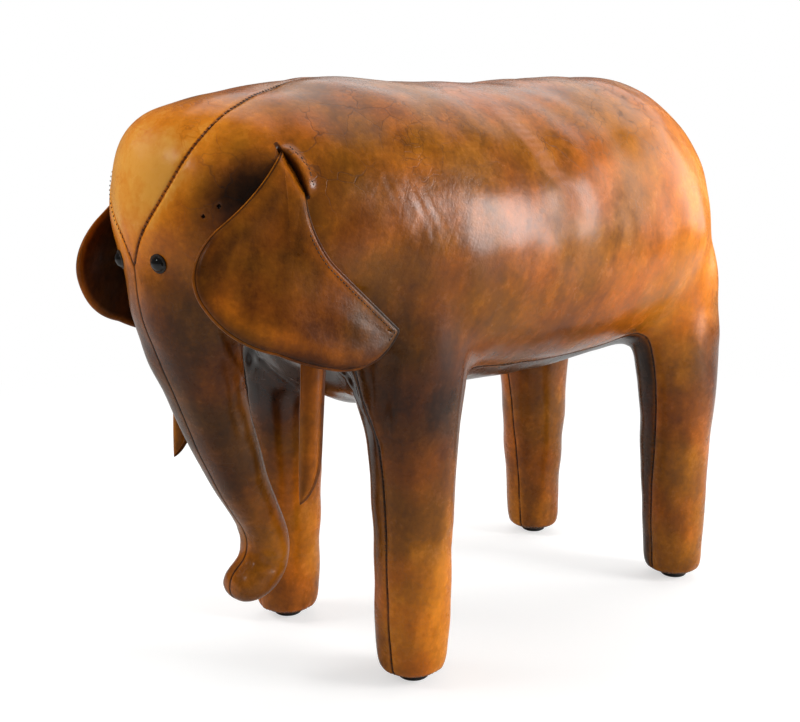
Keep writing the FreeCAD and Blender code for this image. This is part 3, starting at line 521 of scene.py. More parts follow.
# %% [markdown]
# ## Where the seams run
# The cover has four panels. Two sides meet along the back, the rump and the trunk. A leaf-shaped
# gusset widens the forehead, and a boat-shaped one closes the belly and carries the inner halves of
# the legs. Each seam is the line where a field, a signed distance in millimetres that is positive
# inside its gusset, is nought. Fields like these can be asked at any point, so the same ones place
# the cut, the rolled edges, the stitches and the grime.

# %% Seam fields
GORE_AT = (-343.0, 386.0)
GORE_KNOTS = [0, 8, 26, 40, 59, 92, 136, 176, 205, 229]
GORE_HALF = [0, 9, 31, 43, 52.5, 57, 48, 30, 15, 0]
BOAT_KNOTS = [-232, -224, -208, -186, -165, -128, -90, -40, 40,
              120, 190, 225, 268, 300, 308, 315, 319, 322]
BOAT_HALF = [0, 26, 58, 86, 102, 103, 100, 92, 88, 90, 99, 106, 107, 107, 104, 82, 50, 0]
BOAT_TOP, SOLE_SEAM_Z = 352.0, 9.5
TRUNK_FAR_Y, TRUNK_TOP_Z, TRUNK_SIDE, OFF_BOAT = -170.0, 258.0, 52.0, -60.0  # no boat on the trunk


def steepness(knots, values, at):
    """Slope of a smooth curve, from two points a millimetre apart."""
    return smooth_curve(knots, values, at + 0.5) - smooth_curve(knots, values, at - 0.5)


def gore_field(p):
    """Forehead leaf: half width at a run up a 45 degree slope, less distance from the middle."""
    run = ((p[:, 1] - GORE_AT[0]) + (p[:, 2] - GORE_AT[1])) * math.sqrt(0.5)
    inside = smooth_curve(GORE_KNOTS, GORE_HALF, run) - np.abs(p[:, 0])
    inside = inside / np.sqrt(1 + steepness(GORE_KNOTS, GORE_HALF, run) ** 2)
    return np.minimum(inside, p[:, 2] - (GORE_AT[1] - 12))


def boat_field(p):
    """Belly boat: half width at its place along the body, less the distance from the middle. On the
    hind legs it is narrower at the foot and wider above."""
    x, y, z = np.abs(p[:, 0]), p[:, 1], p[:, 2]
    half = smooth_curve(BOAT_KNOTS, BOAT_HALF, y)
    hind = ease(150, 225, y) * (1 - ease(296, 312, y))
    half = half + hind * (-7 + 17 * ease(60, 300, z))
    inside = (half - x) / np.sqrt(1 + steepness(BOAT_KNOTS, BOAT_HALF, y) ** 2)
    on_trunk = (y < TRUNK_FAR_Y) & (z < TRUNK_TOP_Z) & (x < TRUNK_SIDE)
    return np.where(on_trunk, OFF_BOAT, np.minimum(inside, BOAT_TOP - z))


def sole_field(p):
    """Height above the seam between a leg and its sole."""
    return p[:, 2] - SOLE_SEAM_Z


def middle_field(p):
    """Distance from the middle plane, on the left."""
    return p[:, 0]


def nearest_seam(p):
    """Distance to the closest seam in use: the middle seam ends at the two gussets."""
    gore, boat = gore_field(p), boat_field(p)
    into_gusset = np.maximum(np.maximum(gore, boat), 0)
    middle = np.hypot(np.abs(p[:, 0]), into_gusset)
    boat_in_use = np.hypot(boat, np.maximum(SOLE_SEAM_Z - p[:, 2], 0))
    return np.minimum.reduce([np.abs(gore), boat_in_use, middle, np.abs(sole_field(p))])


# %% Pressure from the packing
SWELL_CAP, PUSH_FRAMES, HOLD_STEPS = 4.0, 20, 10


def packed_out(mesh, hold):
    """Cloth under pressure for some frames, held where hold is one; no point moves over the cap."""
    start = get_points(mesh)
    obj = bpy.data.objects.new("packing_push", mesh)
    scene.collection.objects.link(obj)
    group = obj.vertex_groups.new(name="held")
    steps = np.round(hold * HOLD_STEPS).astype(int)
    for step in range(1, HOLD_STEPS + 1):
        group.add(np.flatnonzero(steps == step).tolist(), step / HOLD_STEPS, "REPLACE")
    cloth = obj.modifiers.new("hide", "CLOTH")
    hide = cloth.settings
    hide.quality, hide.mass, hide.time_scale = 2, 0.02, 1.0
    hide.tension_stiffness = hide.compression_stiffness = 15
    hide.shear_stiffness, hide.bending_stiffness = 7.5, 2
    hide.tension_damping = hide.compression_damping = hide.shear_damping = 5
    hide.use_pressure, hide.uniform_pressure_force = True, 300.0
    hide.vertex_group_mass, hide.effector_weights.gravity = "held", 0.0
    cloth.point_cache.frame_end = PUSH_FRAMES
    for frame_number in range(1, PUSH_FRAMES + 1):
        scene.frame_set(frame_number)
    made = evaluated(obj)
    scene.frame_set(1)
    move = get_points(made) - start
    far = np.linalg.norm(move, axis=1, keepdims=True)
    return start + move * np.minimum(1, SWELL_CAP / np.maximum(far, 1e-9))


hold = 1 - ease(3, 22, nearest_seam(points))
hold = np.maximum(hold, 1 - ease(20, 60, points[:, 2]))
swollen = packed_out(cover_mesh, hold)
pushed = np.linalg.norm(swollen - points, axis=1).mean()
print("packing pushed the hide out by", np.round(pushed, 2), "mm")
points = swollen
cover_mesh.vertices.foreach_set("co", (points * MM).ravel())

# %% Finer skin as triangles
fine = bpy.data.objects.new("fine_skin", cover_mesh)
scene.collection.objects.link(fine)
divide = fine.modifiers.new("finer", "SUBSURF")
divide.levels = divide.render_levels = 1
fine_mesh = evaluated(fine)
points, quads = get_points(fine_mesh), quads_of(fine_mesh)
triangles = np.concatenate([quads[:, [0, 1, 2]], quads[:, [0, 2, 3]]])
print("fine skin:", len(points), "points,", len(triangles), "triangles")

# %% [markdown]
# ## Cutting the panels
# To give a seam a crisp edge, the triangles that it crosses are split along it, so that the seam
# becomes a row of edges. More rows run beside it at set distances, which is what lets a rolled edge
# a few millimetres wide keep its round shape. A triangle that is crossed on two sides gives three,
# and one that is crossed on one side, through a corner, gives two.

# %% Split along a field
SNAP = 0.25  # a crossing this close to a corner, as a share of the edge, takes the corner along


def split_at(points, triangles, field, level, use=None):
    """Splits triangles along field = level. A corner close to the line slides onto it."""
    value = field(points) - level
    sign = np.sign(value[triangles])
    crossed = (sign.max(1) > 0) & (sign.min(1) < 0)
    if use is not None:
        crossed &= use(points)[triangles].any(1)
    busy, rest = triangles[crossed], triangles[~crossed]
    if not len(busy):
        return points, triangles
    base = len(points)
    edges = np.sort(np.concatenate([busy[:, [0, 1]], busy[:, [1, 2]], busy[:, [2, 0]]]), 1)
    keys = np.unique(edges[:, 0] * base + edges[:, 1])

    def crossings(a, b):
        """The edges that cross the level, and the share of each at which they do."""
        over = value[a] * value[b] < 0
        a, b = a[over], b[over]
        return a, b, value[a] / (value[a] - value[b])

    a, b, share = crossings(keys // base, keys % base)
    spot = points[a] + (points[b] - points[a]) * share[:, None]
    points, value = points.copy(), value.copy()
    for near, corner in ((share < SNAP, a), (share > 1 - SNAP, b)):
        points[corner[near]], value[corner[near]] = spot[near], 0.0
    a, b, share = crossings(a, b)
    key = a * base + b
    order = np.argsort(key)
    points = np.concatenate([points, points[a] + (points[b] - points[a]) * share[:, None]])

    def on_edge(p, q):
        """Number of the new point on an edge."""
        wanted = np.minimum(p, q) * base + np.maximum(p, q)
        return base + order[np.searchsorted(key, wanted, sorter=order)]

    def turned_to(first, chosen):
        """Corners of the chosen triangles, turned so that the marked corner comes first."""
        corner = np.argmax(first[chosen], 1)[:, None]
        return np.take_along_axis(busy[chosen], (corner + np.arange(3)) % 3, 1).T

    sign = np.sign(value[busy])
    total = sign.sum(1)
    lone = (np.abs(total) == 1) & (sign != 0).all(1)
    through = ((sign == 0).sum(1) == 1) & (total == 0)
    i, j, k = turned_to(sign == -np.sign(total)[:, None], lone)
    m, n = on_edge(i, j), on_edge(i, k)
    made = [(i, m, n), (m, j, k), (m, k, n)]
    i, j, k = turned_to(sign == 0, through)
    m = on_edge(j, k)
    made += [(i, j, m), (i, m, k)]
    made = [np.stack(corners, 1) for corners in made]
    return points, np.concatenate([rest, busy[~lone & ~through], *made])


# %% Rows beside each seam
ROLL = 2.0
ROWS = (0.0, 0.4, -0.4, 1.0, -1.0, ROLL, -ROLL)  # distance from the seam, to either side


def off_gussets(p):
    """True on the two side panels."""
    return np.maximum(gore_field(p), boat_field(p)) < 0.5


def above_soles(p):
    """True on the legs and everything above them."""
    return p[:, 2] > SOLE_SEAM_Z - 1


SEAMS = ((gore_field, None), (boat_field, above_soles),
         (middle_field, off_gussets), (sole_field, None))
for seam, in_use in SEAMS:
    for level in ROWS:
        points, triangles = split_at(points, triangles, seam, level, in_use)
print("cut skin:", len(points), "points,", len(triangles), "triangles")

# %% Ear slits and pin holes
SLIT_TOP, EAR_SLIT, SLIT_BOW = np.array([97.0, -264.6, 475.3]), 36.0, 3.0
SLIT_WAY = unit(np.array([0.4847, 0.2471, -0.8391]))
SLIT_REAR = unit(np.cross(np.array([0.87, -0.37, 0.33]), SLIT_WAY))
SLIT_ROWS = (-3.0, -1.8, -1.0, -0.4, 0.3, 1.0, 1.9, 3.0, 4.4, 6.2)
PIN_PLACES = np.array([(69.8, -319.7, 425.2), (79.3, -310.4, 431.2)])
PIN_ROWS, PIN_DEPTH = (2.4, 1.6, 0.9), 2.4
pin_holes = points[np.argmin(((points[:, None] - PIN_PLACES) ** 2).sum(2), 0)]


def to_left(p):
    """Points folded over to the left side."""
    return np.stack([np.abs(p[:, 0]), p[:, 1], p[:, 2]], 1)


def slit_run(p):
    """Distance down a slit from its top end."""
    return (to_left(p) - SLIT_TOP) @ SLIT_WAY


def slit_bow(run):
    """How far a slit bows to the rear, at a distance down it."""
    return SLIT_BOW * np.sin(np.pi * np.clip(run / EAR_SLIT, 0, 1))


def slit_field(p):
    """Distance behind a slit, across it."""
    return (to_left(p) - SLIT_TOP) @ SLIT_REAR - slit_bow(slit_run(p))


def by_slit(p):
    """True close to a slit."""
    off = np.linalg.norm(to_left(p) - SLIT_TOP - SLIT_WAY * EAR_SLIT / 2, axis=1)
    return (off < 34) & (slit_run(p) > -8) & (slit_run(p) < EAR_SLIT + 8)


def hole_field(p):
    """Distance from the nearest pin hole, on the left side alone."""
    return np.linalg.norm(p[:, None] - pin_holes[None], axis=2).min(1)


def by_hole(p):
    """True close to a pin hole."""
    return hole_field(p) < 6


for level in SLIT_ROWS:
    points, triangles = split_at(points, triangles, slit_field, level, by_slit)
for level in PIN_ROWS:
    points, triangles = split_at(points, triangles, hole_field, level, by_hole)
print("with slits and holes:", len(points), "points")

# %% [markdown]
# ## Stitches and rolled edges
# The panels are sewn inside out and turned, so each edge rolls down into the seam and the two edges
# meet at the bottom of a groove. A stitch every few millimetres draws the edges in, which makes the
# groove scalloped. The stitch places come from the seam rows themselves: their points are put in
# order along the seam, measured, and asked again at an even pitch.

# %% Stitch places along the seams
STITCH, ON_SEAM = 4.4, 0.02
CROTCH_Z, CHIN_Z, LEG_REACH = 226.0, 392.0, 60.0


def pitched(line, pitch):
    """Points at an even pitch along a line of points, with the direction of travel there."""
    run = running(np.linalg.norm(np.diff(line, axis=0), axis=1))
    at = np.linspace(0, run[-1], max(int(run[-1] / pitch), 1), endpoint=False) + pitch / 2
    at = at[at < run[-1]]

    def at_run(where):
        """Places at distances along the line."""
        return np.stack([np.interp(where, run, line[:, k]) for k in range(3)], 1)

    return at_run(at), unit(at_run(at + 1.5) - at_run(at - 1.5))


def seam_line(chosen, key):
    """Points of a seam row, put in order by a key that grows along it."""
    return points[chosen][np.argsort(key[chosen])]


x, y, z = points.T
on_gore, on_boat, on_sole = (np.abs(field(points)) < ON_SEAM
                             for field in (gore_field, boat_field, sole_field))
on_middle = (np.abs(x) < ON_SEAM) & off_gussets(points)
fine_run = np.linspace(0, TRUNK_LENGTH, 400)
trunk_y, trunk_z, trunk_heading = trunk_line(fine_run)
trunk_zone = on_middle & (y < -150) & (z < CHIN_Z)
near = np.argmin(np.hypot(y[trunk_zone, None] - trunk_y, z[trunk_zone, None] - trunk_z), 1)
fore = (y[trunk_zone] - trunk_y[near]) * np.cos(trunk_heading[near])
fore += (z[trunk_zone] - trunk_z[near]) * np.sin(trunk_heading[near])
trunk_key = np.zeros(len(points))
trunk_key[trunk_zone] = np.where(fore < 0, fine_run[near], 2 * TRUNK_LENGTH - fine_run[near])
back_zone = on_middle & ~trunk_zone & (y > -230)
rows = [seam_line(back_zone, np.arctan2(y - 60, z - 330)), seam_line(trunk_zone, trunk_key)]
for side in (1, -1):
    mine = x * side > 0
    rows.append(seam_line(on_gore & mine, y + z))
    stem = on_boat & mine & (z > SOLE_SEAM_Z)
    for leg in (FRONT_LEG, HIND_LEG):
        by_leg = np.abs(y - leg["y"]) < LEG_REACH
        shin, front = stem & by_leg & (z < CROTCH_Z), leg["y"] - leg["lean"]
        rows += [seam_line(shin & (y < front), z), seam_line(shin & (y > front), z)]
        turn = np.arctan2(y - leg["y"], x - side * leg["x"])
        rows.append(seam_line(on_sole & mine & by_leg, turn))
    top, chest_y, rump_y = stem & (z > CROTCH_Z), FRONT_LEG["y"], HIND_LEG["y"] - 10
    rows.append(seam_line(top & (y < chest_y), y - z))
    rows.append(seam_line(top & (y > chest_y) & (y < rump_y),
                          y + (z - 250) * np.clip((70 - y) / 100, -1, 1)))
    rows.append(seam_line(top & (y > rump_y), -np.abs(x)))
stitches = [pitched(row, STITCH) for row in rows if len(row) > 20]
spots, travel = (np.concatenate(kind) for kind in zip(*stitches))
print("seams:", len(stitches), "rows,", len(spots), "stitches")

# %% Roll the edges in
ROLL_DEPTH, STITCH_PULL = 1.6, 0.7
SEAM_FALL, FALL_REACH = 0.9, 11.0  # the broad fall of the hide towards a seam
SLOT_DEPTH, LIP_RISE, FRONT_FALL = 7.0, 3.4, 2.5
UNEVEN = ((0.7, 3, 130), (0.35, 4, 55))  # height, seed and wave length


def lumps(p, seed, wave, count=36):
    """Soft unevenness: a sum of cosine waves in seeded directions, of about one wave length."""
    rng = np.random.default_rng(seed)
    way = unit(rng.normal(size=(count, 3)))
    way = way * rng.uniform(0.7, 1.4, (count, 1)) * (2 * np.pi / wave)
    return np.cos(p @ way.T + rng.uniform(0, 2 * np.pi, count)).sum(1) / math.sqrt(count / 2)


def closest(p, spots, block=4000):
    """Distance from each point to the nearest spot, worked out block by block."""
    found = [((p[k:k + block, None] - spots[None]) ** 2).sum(2).min(1)
             for k in range(0, max(len(p), 1), block)]
    return np.sqrt(np.concatenate(found))


seam_distance = nearest_seam(points)
normals = outward(points, triangles)
rolled = 1 - np.sqrt(1 - np.clip(1 - seam_distance / ROLL, 0, 1) ** 2)
pucker = np.zeros(len(points))
close = seam_distance < 9
pucker[close] = np.exp(-(closest(points[close], spots) / 2.6) ** 2)
sunk = ROLL_DEPTH * rolled + STITCH_PULL * pucker * np.exp(-(seam_distance / 4.0) ** 2)
sunk += SEAM_FALL * np.exp(-(seam_distance / FALL_REACH) ** 2)


def slit_relief(p):
    """An open slot, a rolled lip behind it and a fall in front of it, fading out at both ends."""
    run, off = slit_run(p), slit_field(p)
    along = ease(-5, 4, run) * (1 - ease(EAR_SLIT - 3, EAR_SLIT + 7, run)) * by_slit(p)
    slot = -SLOT_DEPTH * (1 - ease(-0.2, 0.5, off)) * ease(-3.2, -1.4, off)
    lip = LIP_RISE * ease(-0.4, 1.4, off) * np.exp(-(np.maximum(off - 2.0, 0) / 6.0) ** 2)
    fall = -FRONT_FALL * np.exp(-(off / 7.0) ** 2) * (off < 0)
    return along * (slot + lip + fall)


FOLDS = np.array([  # start, end, depth and half width, on both sides alike
    (58, -296, 330, 44, -262, 296, 2.2, 4.0),
    (62, -290, 318, 50, -256, 286, 1.8, 4.0),
    (52, -306, 340, 36, -300, 300, 1.2, 5.0),
    (64, -180, 300, 92, -172, 262, 2.0, 4.5),
    (120, -176, 300, 108, -172, 240, 1.6, 5.0),
    (126, -84, 262, 116, -78, 222, 1.5, 5.0),
    (133, -190, 455, 140, -172, 396, 0.22, 2.6),
    (138, -176, 462, 146, -150, 402, 0.25, 2.8),
    (142, -162, 452, 149, -134, 398, 0.2, 2.6),
    (128, 236, 250, 112, 226, 216, 1.6, 5.0),
    (140, 300, 250, 126, 306, 190, 1.2, 6.0),
    (30, -214, 120, 20, -240, 130, 0.9, 4.0),
    (30, -212, 104, 20, -238, 112, 0.9, 4.0),
    (134, -150, 128, 128, -110, 140, 0.8, 6.0),
])


def fold_depth(p):
    """Creases: depth times exp(-(distance from a line / half width)^2), a swell on each side."""
    q, total = to_left(p), np.zeros(len(p))
    for *ends, depth, half in FOLDS:
        start, way = np.array(ends[:3]), np.array(ends[3:]) - ends[:3]
        share = np.clip((q - start) @ way / (way @ way), 0, 1)
        off = np.linalg.norm(q - start - share[:, None] * way, axis=1) / half
        total += depth * (np.exp(-off**2) - 0.45 * np.exp(-((off - 2.0) / 0.9) ** 2))
    return total


hole_depth = PIN_DEPTH * (1 - ease(0.9, 2.0, hole_field(points)))
sunk += hole_depth - slit_relief(points) + fold_depth(points)
swell = sum(height * lumps(points, seed, wave) for height, seed, wave in UNEVEN)
steady = ease(16, 60, points[:, 2])
shaped = points + normals * (swell * steady - sunk)[:, None]
print("rolled edges", ROLL_DEPTH, "mm deep; unevenness to", round(np.abs(swell).max(), 1), "mm")

# %% Part the panels
middle_of = points[triangles].mean(1)
in_gore, in_boat = gore_field(middle_of) > 0, boat_field(middle_of) > 0
is_sole, is_left = sole_field(middle_of) < 0, middle_of[:, 0] > 0
is_front = middle_of[:, 1] < 70
panels = {"forehead_gusset": in_gore, "belly_gusset": in_boat & ~is_sole}
sides = ~in_gore & ~in_boat & ~is_sole
panels["left_side_panel"], panels["right_side_panel"] = sides & is_left, sides & ~is_left
for end, is_end in (("front", is_front), ("hind", ~is_front)):
    for side, is_side in (("left", is_left), ("right", ~is_left)):
        panels[f"{end}_{side}_sole"] = is_sole & is_end & is_side
SEAM_REACH, NO_SLIT = 12.0, 40.0  # how far a seam's grime reaches; a distance out of its reach


def part(name, chosen):
    """One panel as its own mesh, with its distance from a seam or a slit's slot for its finish."""
    kept, corners = np.unique(triangles[chosen], return_inverse=True)
    obj = put_mesh("hide_" + name, shaped[kept], [corners.reshape(-1, 3)])
    # the slit's slot is darkened like a seam: painted shade in the opening
    slot = np.maximum(np.abs(slit_field(points[kept]) + 1.2) - 0.8, 0)
    slot = np.where(by_slit(points[kept]), slot, NO_SLIT)
    near_seam = np.minimum(seam_distance[kept], slot)
    set_attribute(obj, "seam", np.clip(near_seam / SEAM_REACH, 0, 1))
    # the pin holes are painted dark: painted shade in the holes
    set_attribute(obj, "hole", np.clip(hole_depth[kept] / PIN_DEPTH, 0, 1))
    return obj


hide = {name: part(name, chosen) for name, chosen in panels.items()}
print({name: len(obj.data.polygons) for name, obj in hide.items()})

# %% [markdown]
# ## Ears
# Each ear is two plies of hide sewn together round the edge, lightly cupped, and tucked into a slit
# in the head. The outline is a chain of arcs in the ear's own plane. From it the surface runs
# inwards in rows set by their distance from the edge: a rounded bead, the groove of the stitch
# line, then the soft swell of the face. Both faces come from the same rows, so they meet along the
# edge.

# %% Ear outline
EAR_AT = np.array([101.0, -266.0, 476.0])
EAR_OUT = unit(np.array([0.932, -0.3228, 0.1634]))
EAR_DOWN = unit(np.array([0.2783, 0.3305, -0.9019]))
EAR_FORE = np.cross(EAR_DOWN, EAR_OUT)
EAR_ARCS = np.array([
    ((0, 0), (36, 20), (77, 33)),
    ((77, 33), (105, 50), (114, 76)),
    ((114, 76), (104, 110), (80, 137)),
    ((80, 137), (61, 156), (40, 172)),
    ((40, 172), (8, 180), (-22, 167)),
    ((-22, 167), (-4, 127), (9, 94)),
    ((9, 94), (10, 65), (0, 36)),
    ((0, 36), (0, 18), (0.01, 0)),
], float)
EAR_CUP, EAR_BULGE, EAR_MIDDLE = 320.0, 12.0, np.array([45.0, 90.0])


def bow(a, m, b, count):
    """Curve through three points: the parabola whose middle is m, close to their arc when flat."""
    t = np.linspace(0, 1, count, endpoint=False)[:, None]
    return a * (1 - t) * (1 - 2 * t) + m * 4 * t * (1 - t) + b * t * (2 * t - 1)


def even(loop, count):
    """Closed loop asked again at an even pitch."""
    closed = np.concatenate([loop, loop[:1]])
    run = running(np.linalg.norm(np.diff(closed, axis=0), axis=1))
    at = np.linspace(0, run[-1], count, endpoint=False)
    return np.stack([np.interp(at, run, closed[:, k]) for k in range(closed.shape[1])], 1)


def round_mean(values, reach):
    """Mean along a closed loop over a window of neighbours."""
    return sum(np.roll(values, k, axis=0) for k in range(-reach, reach + 1)) / (2 * reach + 1)


outline = even(np.concatenate([bow(*arc, 40) for arc in EAR_ARCS]), 260)
outline = round_mean(outline, 1)
tangent = unit(np.roll(outline, -1, 0) - np.roll(outline, 1, 0))
inward = unit(round_mean(np.stack([-tangent[:, 1], tangent[:, 0]], 1), 6))
at_rear = round_mean(((inward[:, 0] > 0.35) & (outline[:, 1] > 62)).astype(float), 8)
print("ear outline", len(outline), "points,", round(float(np.ptp(outline[:, 1]))), "mm long")

# %% Ear rows
# rows over the edge: distance in and half thickness; the seam lies between the two rolled plies
OUTER_EDGE = np.array([(2.6, 0.8), (2.1, 1.7), (2.4, 2.7), (3.5, 3.7), (5.5, 4.3), (8.5, 4.6)])
INNER_EDGE = np.array([(2.6, 0.8), (1.7, 1.2), (0.7, 0.9), (0.1, 0.1), (0.0, -1.0), (0.5, -2.2),
                       (1.7, -3.3), (3.8, -3.9), (7.0, -4.2)])
FACE_IN = np.array([0.02, 0.06, 0.12, 0.19, 0.27, 0.36, 0.46, 0.57, 0.68, 0.79, 0.89, 0.96])
NARROWING, EAR_SEWN = 0.45, 6.5  # share lost at the root; the stitch line's distance from the edge
narrow = round_mean(1 - NARROWING * (1 - ease(20, 60, outline[:, 1])), 6)


def soft_near(plan, values):
    """Value of the outline close to a place, a mean with weights that fall off fast with distance,
    and the distance from the outline."""
    off = ((plan[..., None, :] - outline) ** 2).sum(-1)
    least = off.min(-1, keepdims=True)
    weight = np.exp(-(off - least) / (60.0 + least))
    return (weight * values).sum(-1) / weight.sum(-1), np.sqrt(off.min(-1))


def ear_face(edge_rows):
    """Rows of one face from the edge seam to the middle: plan places, distance from the edge and
    signed half thickness."""
    inset, half = column(edge_rows[:, 0], edge_rows[:, 1])
    rim = outline + inward * (inset * narrow)[..., None]
    plan = np.concatenate([rim, rim[-1:] + (EAR_MIDDLE - rim[-1:]) * FACE_IN[:, None, None]])
    flat, inside = soft_near(plan, at_rear)
    thin = 1 - 0.5 * soft_near(plan, 1.0 - narrow)[0] / NARROWING
    puffed = 4.6 + 0.5 * np.exp(-((inside - 15) / 6) ** 2) - 1.2 * ease(18, 50, inside)
    sewn = 2.0 - 0.8 * np.exp(-((inside - EAR_SEWN) / 1.1) ** 2) + 1.9 * ease(6, 48, inside)
    target = puffed + (sewn - puffed) * flat
    rows = np.zeros(inside.shape)
    rows[:len(edge_rows)] = half
    sign = np.sign(edge_rows[-1, 1])
    blend_in = ease(2.5, 7.0, inside)
    blend_in[len(edge_rows):] = 1.0
    lift = rows * (1 - 0.5 * flat) * (1 - blend_in) + sign * target * blend_in
    return plan, inside, lift * thin


# %% Ear surface
ROOT_DIVE, REAR_CURL, EAR_UNEVEN = 14.0, 2.5, 1.1
EDGE_LIFT, FROM_SEAM = 1.0, 40.0  # half thickness at the edge seam; a distance out of its reach


def ear_place(plan, edge, lift):
    """From the ear's plane to the stool: the cup of a large ball, a curled rear edge and a root
    that dives into the slit."""
    x, y = plan[..., 0], plan[..., 1]
    root = (1 - ease(34, 50, y)) * (1 - ease(-6, 9, x)) * (0.4 + 0.6 * ease(0, 14, y))
    x = x - 4.0 * root
    cup = np.sqrt(EAR_CUP**2 - (x - EAR_MIDDLE[0]) ** 2 - (y - EAR_MIDDLE[1]) ** 2)
    uneven = lumps(np.stack([x, y, x * 0], -1).reshape(-1, 3), 11, 75).reshape(x.shape)
    rise = EAR_BULGE - EAR_CUP + cup + lift - ROOT_DIVE * root
    rise = rise + REAR_CURL * at_rear * np.exp(-edge / 8.0)
    rise = rise + EAR_UNEVEN * uneven * ease(4, 30, edge)
    return EAR_AT + x[..., None] * EAR_FORE + y[..., None] * EAR_DOWN + rise[..., None] * EAR_OUT


def ear_seam(inside, lift):
    """Distance from the edge seam, or from the stitch line along the rear flange."""
    from_edge = np.hypot(inside - inside[:1], lift - EDGE_LIFT)
    return np.minimum(from_edge, np.abs(inside - EAR_SEWN) + 30 * (1 - at_rear))


def both_faces(outer, inner, middle):
    """Values of the rows in the order of the ear's points: outer face, inner face, two poles."""
    return np.concatenate([outer[::-1].ravel(), inner[1:].ravel(), [middle, middle]])


outer_plan, outer_in, outer_lift = ear_face(OUTER_EDGE)
inner_plan, inner_in, inner_lift = ear_face(INNER_EDGE)
outer_face = ear_place(outer_plan, outer_in, outer_lift)
inner_face = ear_place(inner_plan, inner_in, inner_lift)
ear_points, ear_faces = skin_rings(np.concatenate([outer_face[::-1], inner_face[1:]]))
near_seam = both_faces(ear_seam(outer_in, outer_lift), ear_seam(inner_in, inner_lift), FROM_SEAM)

MIRROR = np.array([-1.0, 1.0, 1.0])
SIDES = {"left": np.ones(3), "right": MIRROR}
ears = {}
for side, flip in SIDES.items():
    faces = ear_faces if side == "right" else [f[:, ::-1] for f in ear_faces]
    ears[side] = put_mesh(f"hide_{side}_ear", ear_points * flip, faces)
    set_attribute(ears[side], "seam", np.clip(near_seam * 1.5 / SEAM_REACH, 0, 1))
print("ears:", len(ear_points), "points each")

# %% [markdown]
# ## Tusks and tail
# The tusks are slim sleeves of hide with a core, sewn along the rear edge, where the two plies lie
# flat together. The tail is the same kind of sleeve, round, with its seam behind. Each is a section
# carried down a middle line: the front stays rounded and the rear thins to the two plies.

# %% Hanging sleeves
TUSK_ROOT = np.array([100.0, -240.0, 316.5])
TUSK_RADIUS, TUSK_LENGTH, TUSK_FORWARD, TUSK_FLANGE, TUSK_SEWN = 10.5, 126.0, 5.0, 2.4, 4.6
TAIL_ROOT = np.array([0.0, 341.3, 446.0])
TAIL_RADIUS, TAIL_TIP, TAIL_LENGTH, TAIL_LEAN = 9.0, 5.0, 190.0, 6.0
AROUND = np.linspace(0, 2 * np.pi, 48, endpoint=False)[None, :]


def hang(length, dome):
    """Drop below the root along a sleeve, from its dome to its tip, closer together at the ends."""
    up = -dome * np.cos(np.radians(np.linspace(4, 86, 10)))
    down = length * np.sin(np.radians(np.linspace(0, 88, 46)))
    return np.concatenate([up, down, [length * 0.9998]])


def domed(drop, radius):
    """Share of a radius that is left in the dome above the root: one below it."""
    return np.where(drop < 0, np.sqrt(np.clip(1 - (drop / radius) ** 2, 0, 1)), 1)


def tusk_rings():
    """Front edge nearly upright, rear edge curving forward to the tip; flat plies at the rear."""
    drop = hang(TUSK_LENGTH, TUSK_RADIUS)
    share = np.clip(drop / TUSK_LENGTH, 0, 1)
    pointed = (1 - np.clip((share - 0.68) / 0.32, 0, 1) ** 2.4) ** 0.7
    radius = TUSK_RADIUS * (1 - 0.16 * share) * pointed * domed(drop, TUSK_RADIUS)
    front = np.where(drop < 0, radius, TUSK_RADIUS + TUSK_FORWARD * share)
    radius, middle, height = column(radius, radius - front, -drop)
    y = radius * np.cos(AROUND)
    y = y + TUSK_FLANGE * ease(0.2, 1.0, y / np.maximum(radius, 1e-6)) * radius / TUSK_RADIUS
    from_rear = y.max(1, keepdims=True) - y
    full = 0.85 * radius * np.abs(np.sin(AROUND))
    flat = 1.9 - 0.7 * np.exp(-((from_rear - TUSK_SEWN) / 1.2) ** 2)
    flat = flat + 7.5 * ease(TUSK_SEWN + 0.4, 10.5, from_rear)
    x = np.copysign(np.minimum(full, flat), np.sin(AROUND))
    return TUSK_ROOT + np.stack([x, middle + y, np.broadcast_to(height, x.shape)], -1)


def tail_rings():
    """Round taper leaning a little away from the rump, with a shallow groove along its rear."""
    drop = hang(TAIL_LENGTH, TAIL_RADIUS)
    share = np.clip(drop / TAIL_LENGTH, 0, 1)
    radius = TAIL_RADIUS + (TAIL_TIP - TAIL_RADIUS) * share**1.4
    rounded = np.sqrt(np.clip(1 - np.clip((share - 0.97) / 0.03, 0, 1) ** 2, 0.02, 1))
    radius = radius * domed(drop, TAIL_RADIUS) * rounded
    radius, middle, height = column(radius, TAIL_LEAN * share, -drop)
    groove = 1 - 0.22 * np.exp(-((AROUND - np.pi / 2) / 0.16) ** 2)
    x, y = radius * groove * np.cos(AROUND), radius * groove * np.sin(AROUND)
    return TAIL_ROOT + np.stack([x, middle + y, np.broadcast_to(height, x.shape)], -1)


tusk_grid = tusk_rings()
tusk_points, tusk_faces = skin_rings(tusk_grid)
tail_points, tail_faces = skin_rings(tail_rings())
tusks = {"left": put_mesh("hide_left_tusk", tusk_points, [f[:, ::-1] for f in tusk_faces]),
         "right": put_mesh("hide_right_tusk", tusk_points * MIRROR, tusk_faces)}
tail = put_mesh("hide_tail", tail_points, [f[:, ::-1] for f in tail_faces])
print("tusks", len(tusk_points), "points, tail", len(tail_points), "points")

# %% [markdown]
# ## Eyes
# Each eye is a black glass button: a low rim round a dome. A profile is turned about the outward
# normal of the hide, at the place where the frame has the eye.

# %% Turn the eyes
EYE_PROFILE = np.array([  # radius and height
    (7.6, -1.2), (8.0, 0.2), (7.9, 0.9), (7.3, 1.4), (6.7, 1.3), (6.4, 1.2), (6.2, 1.5),
    (5.9, 2.2), (5.2, 3.2), (4.1, 4.1), (2.8, 4.75), (1.4, 5.1), (0.4, 5.2),
])


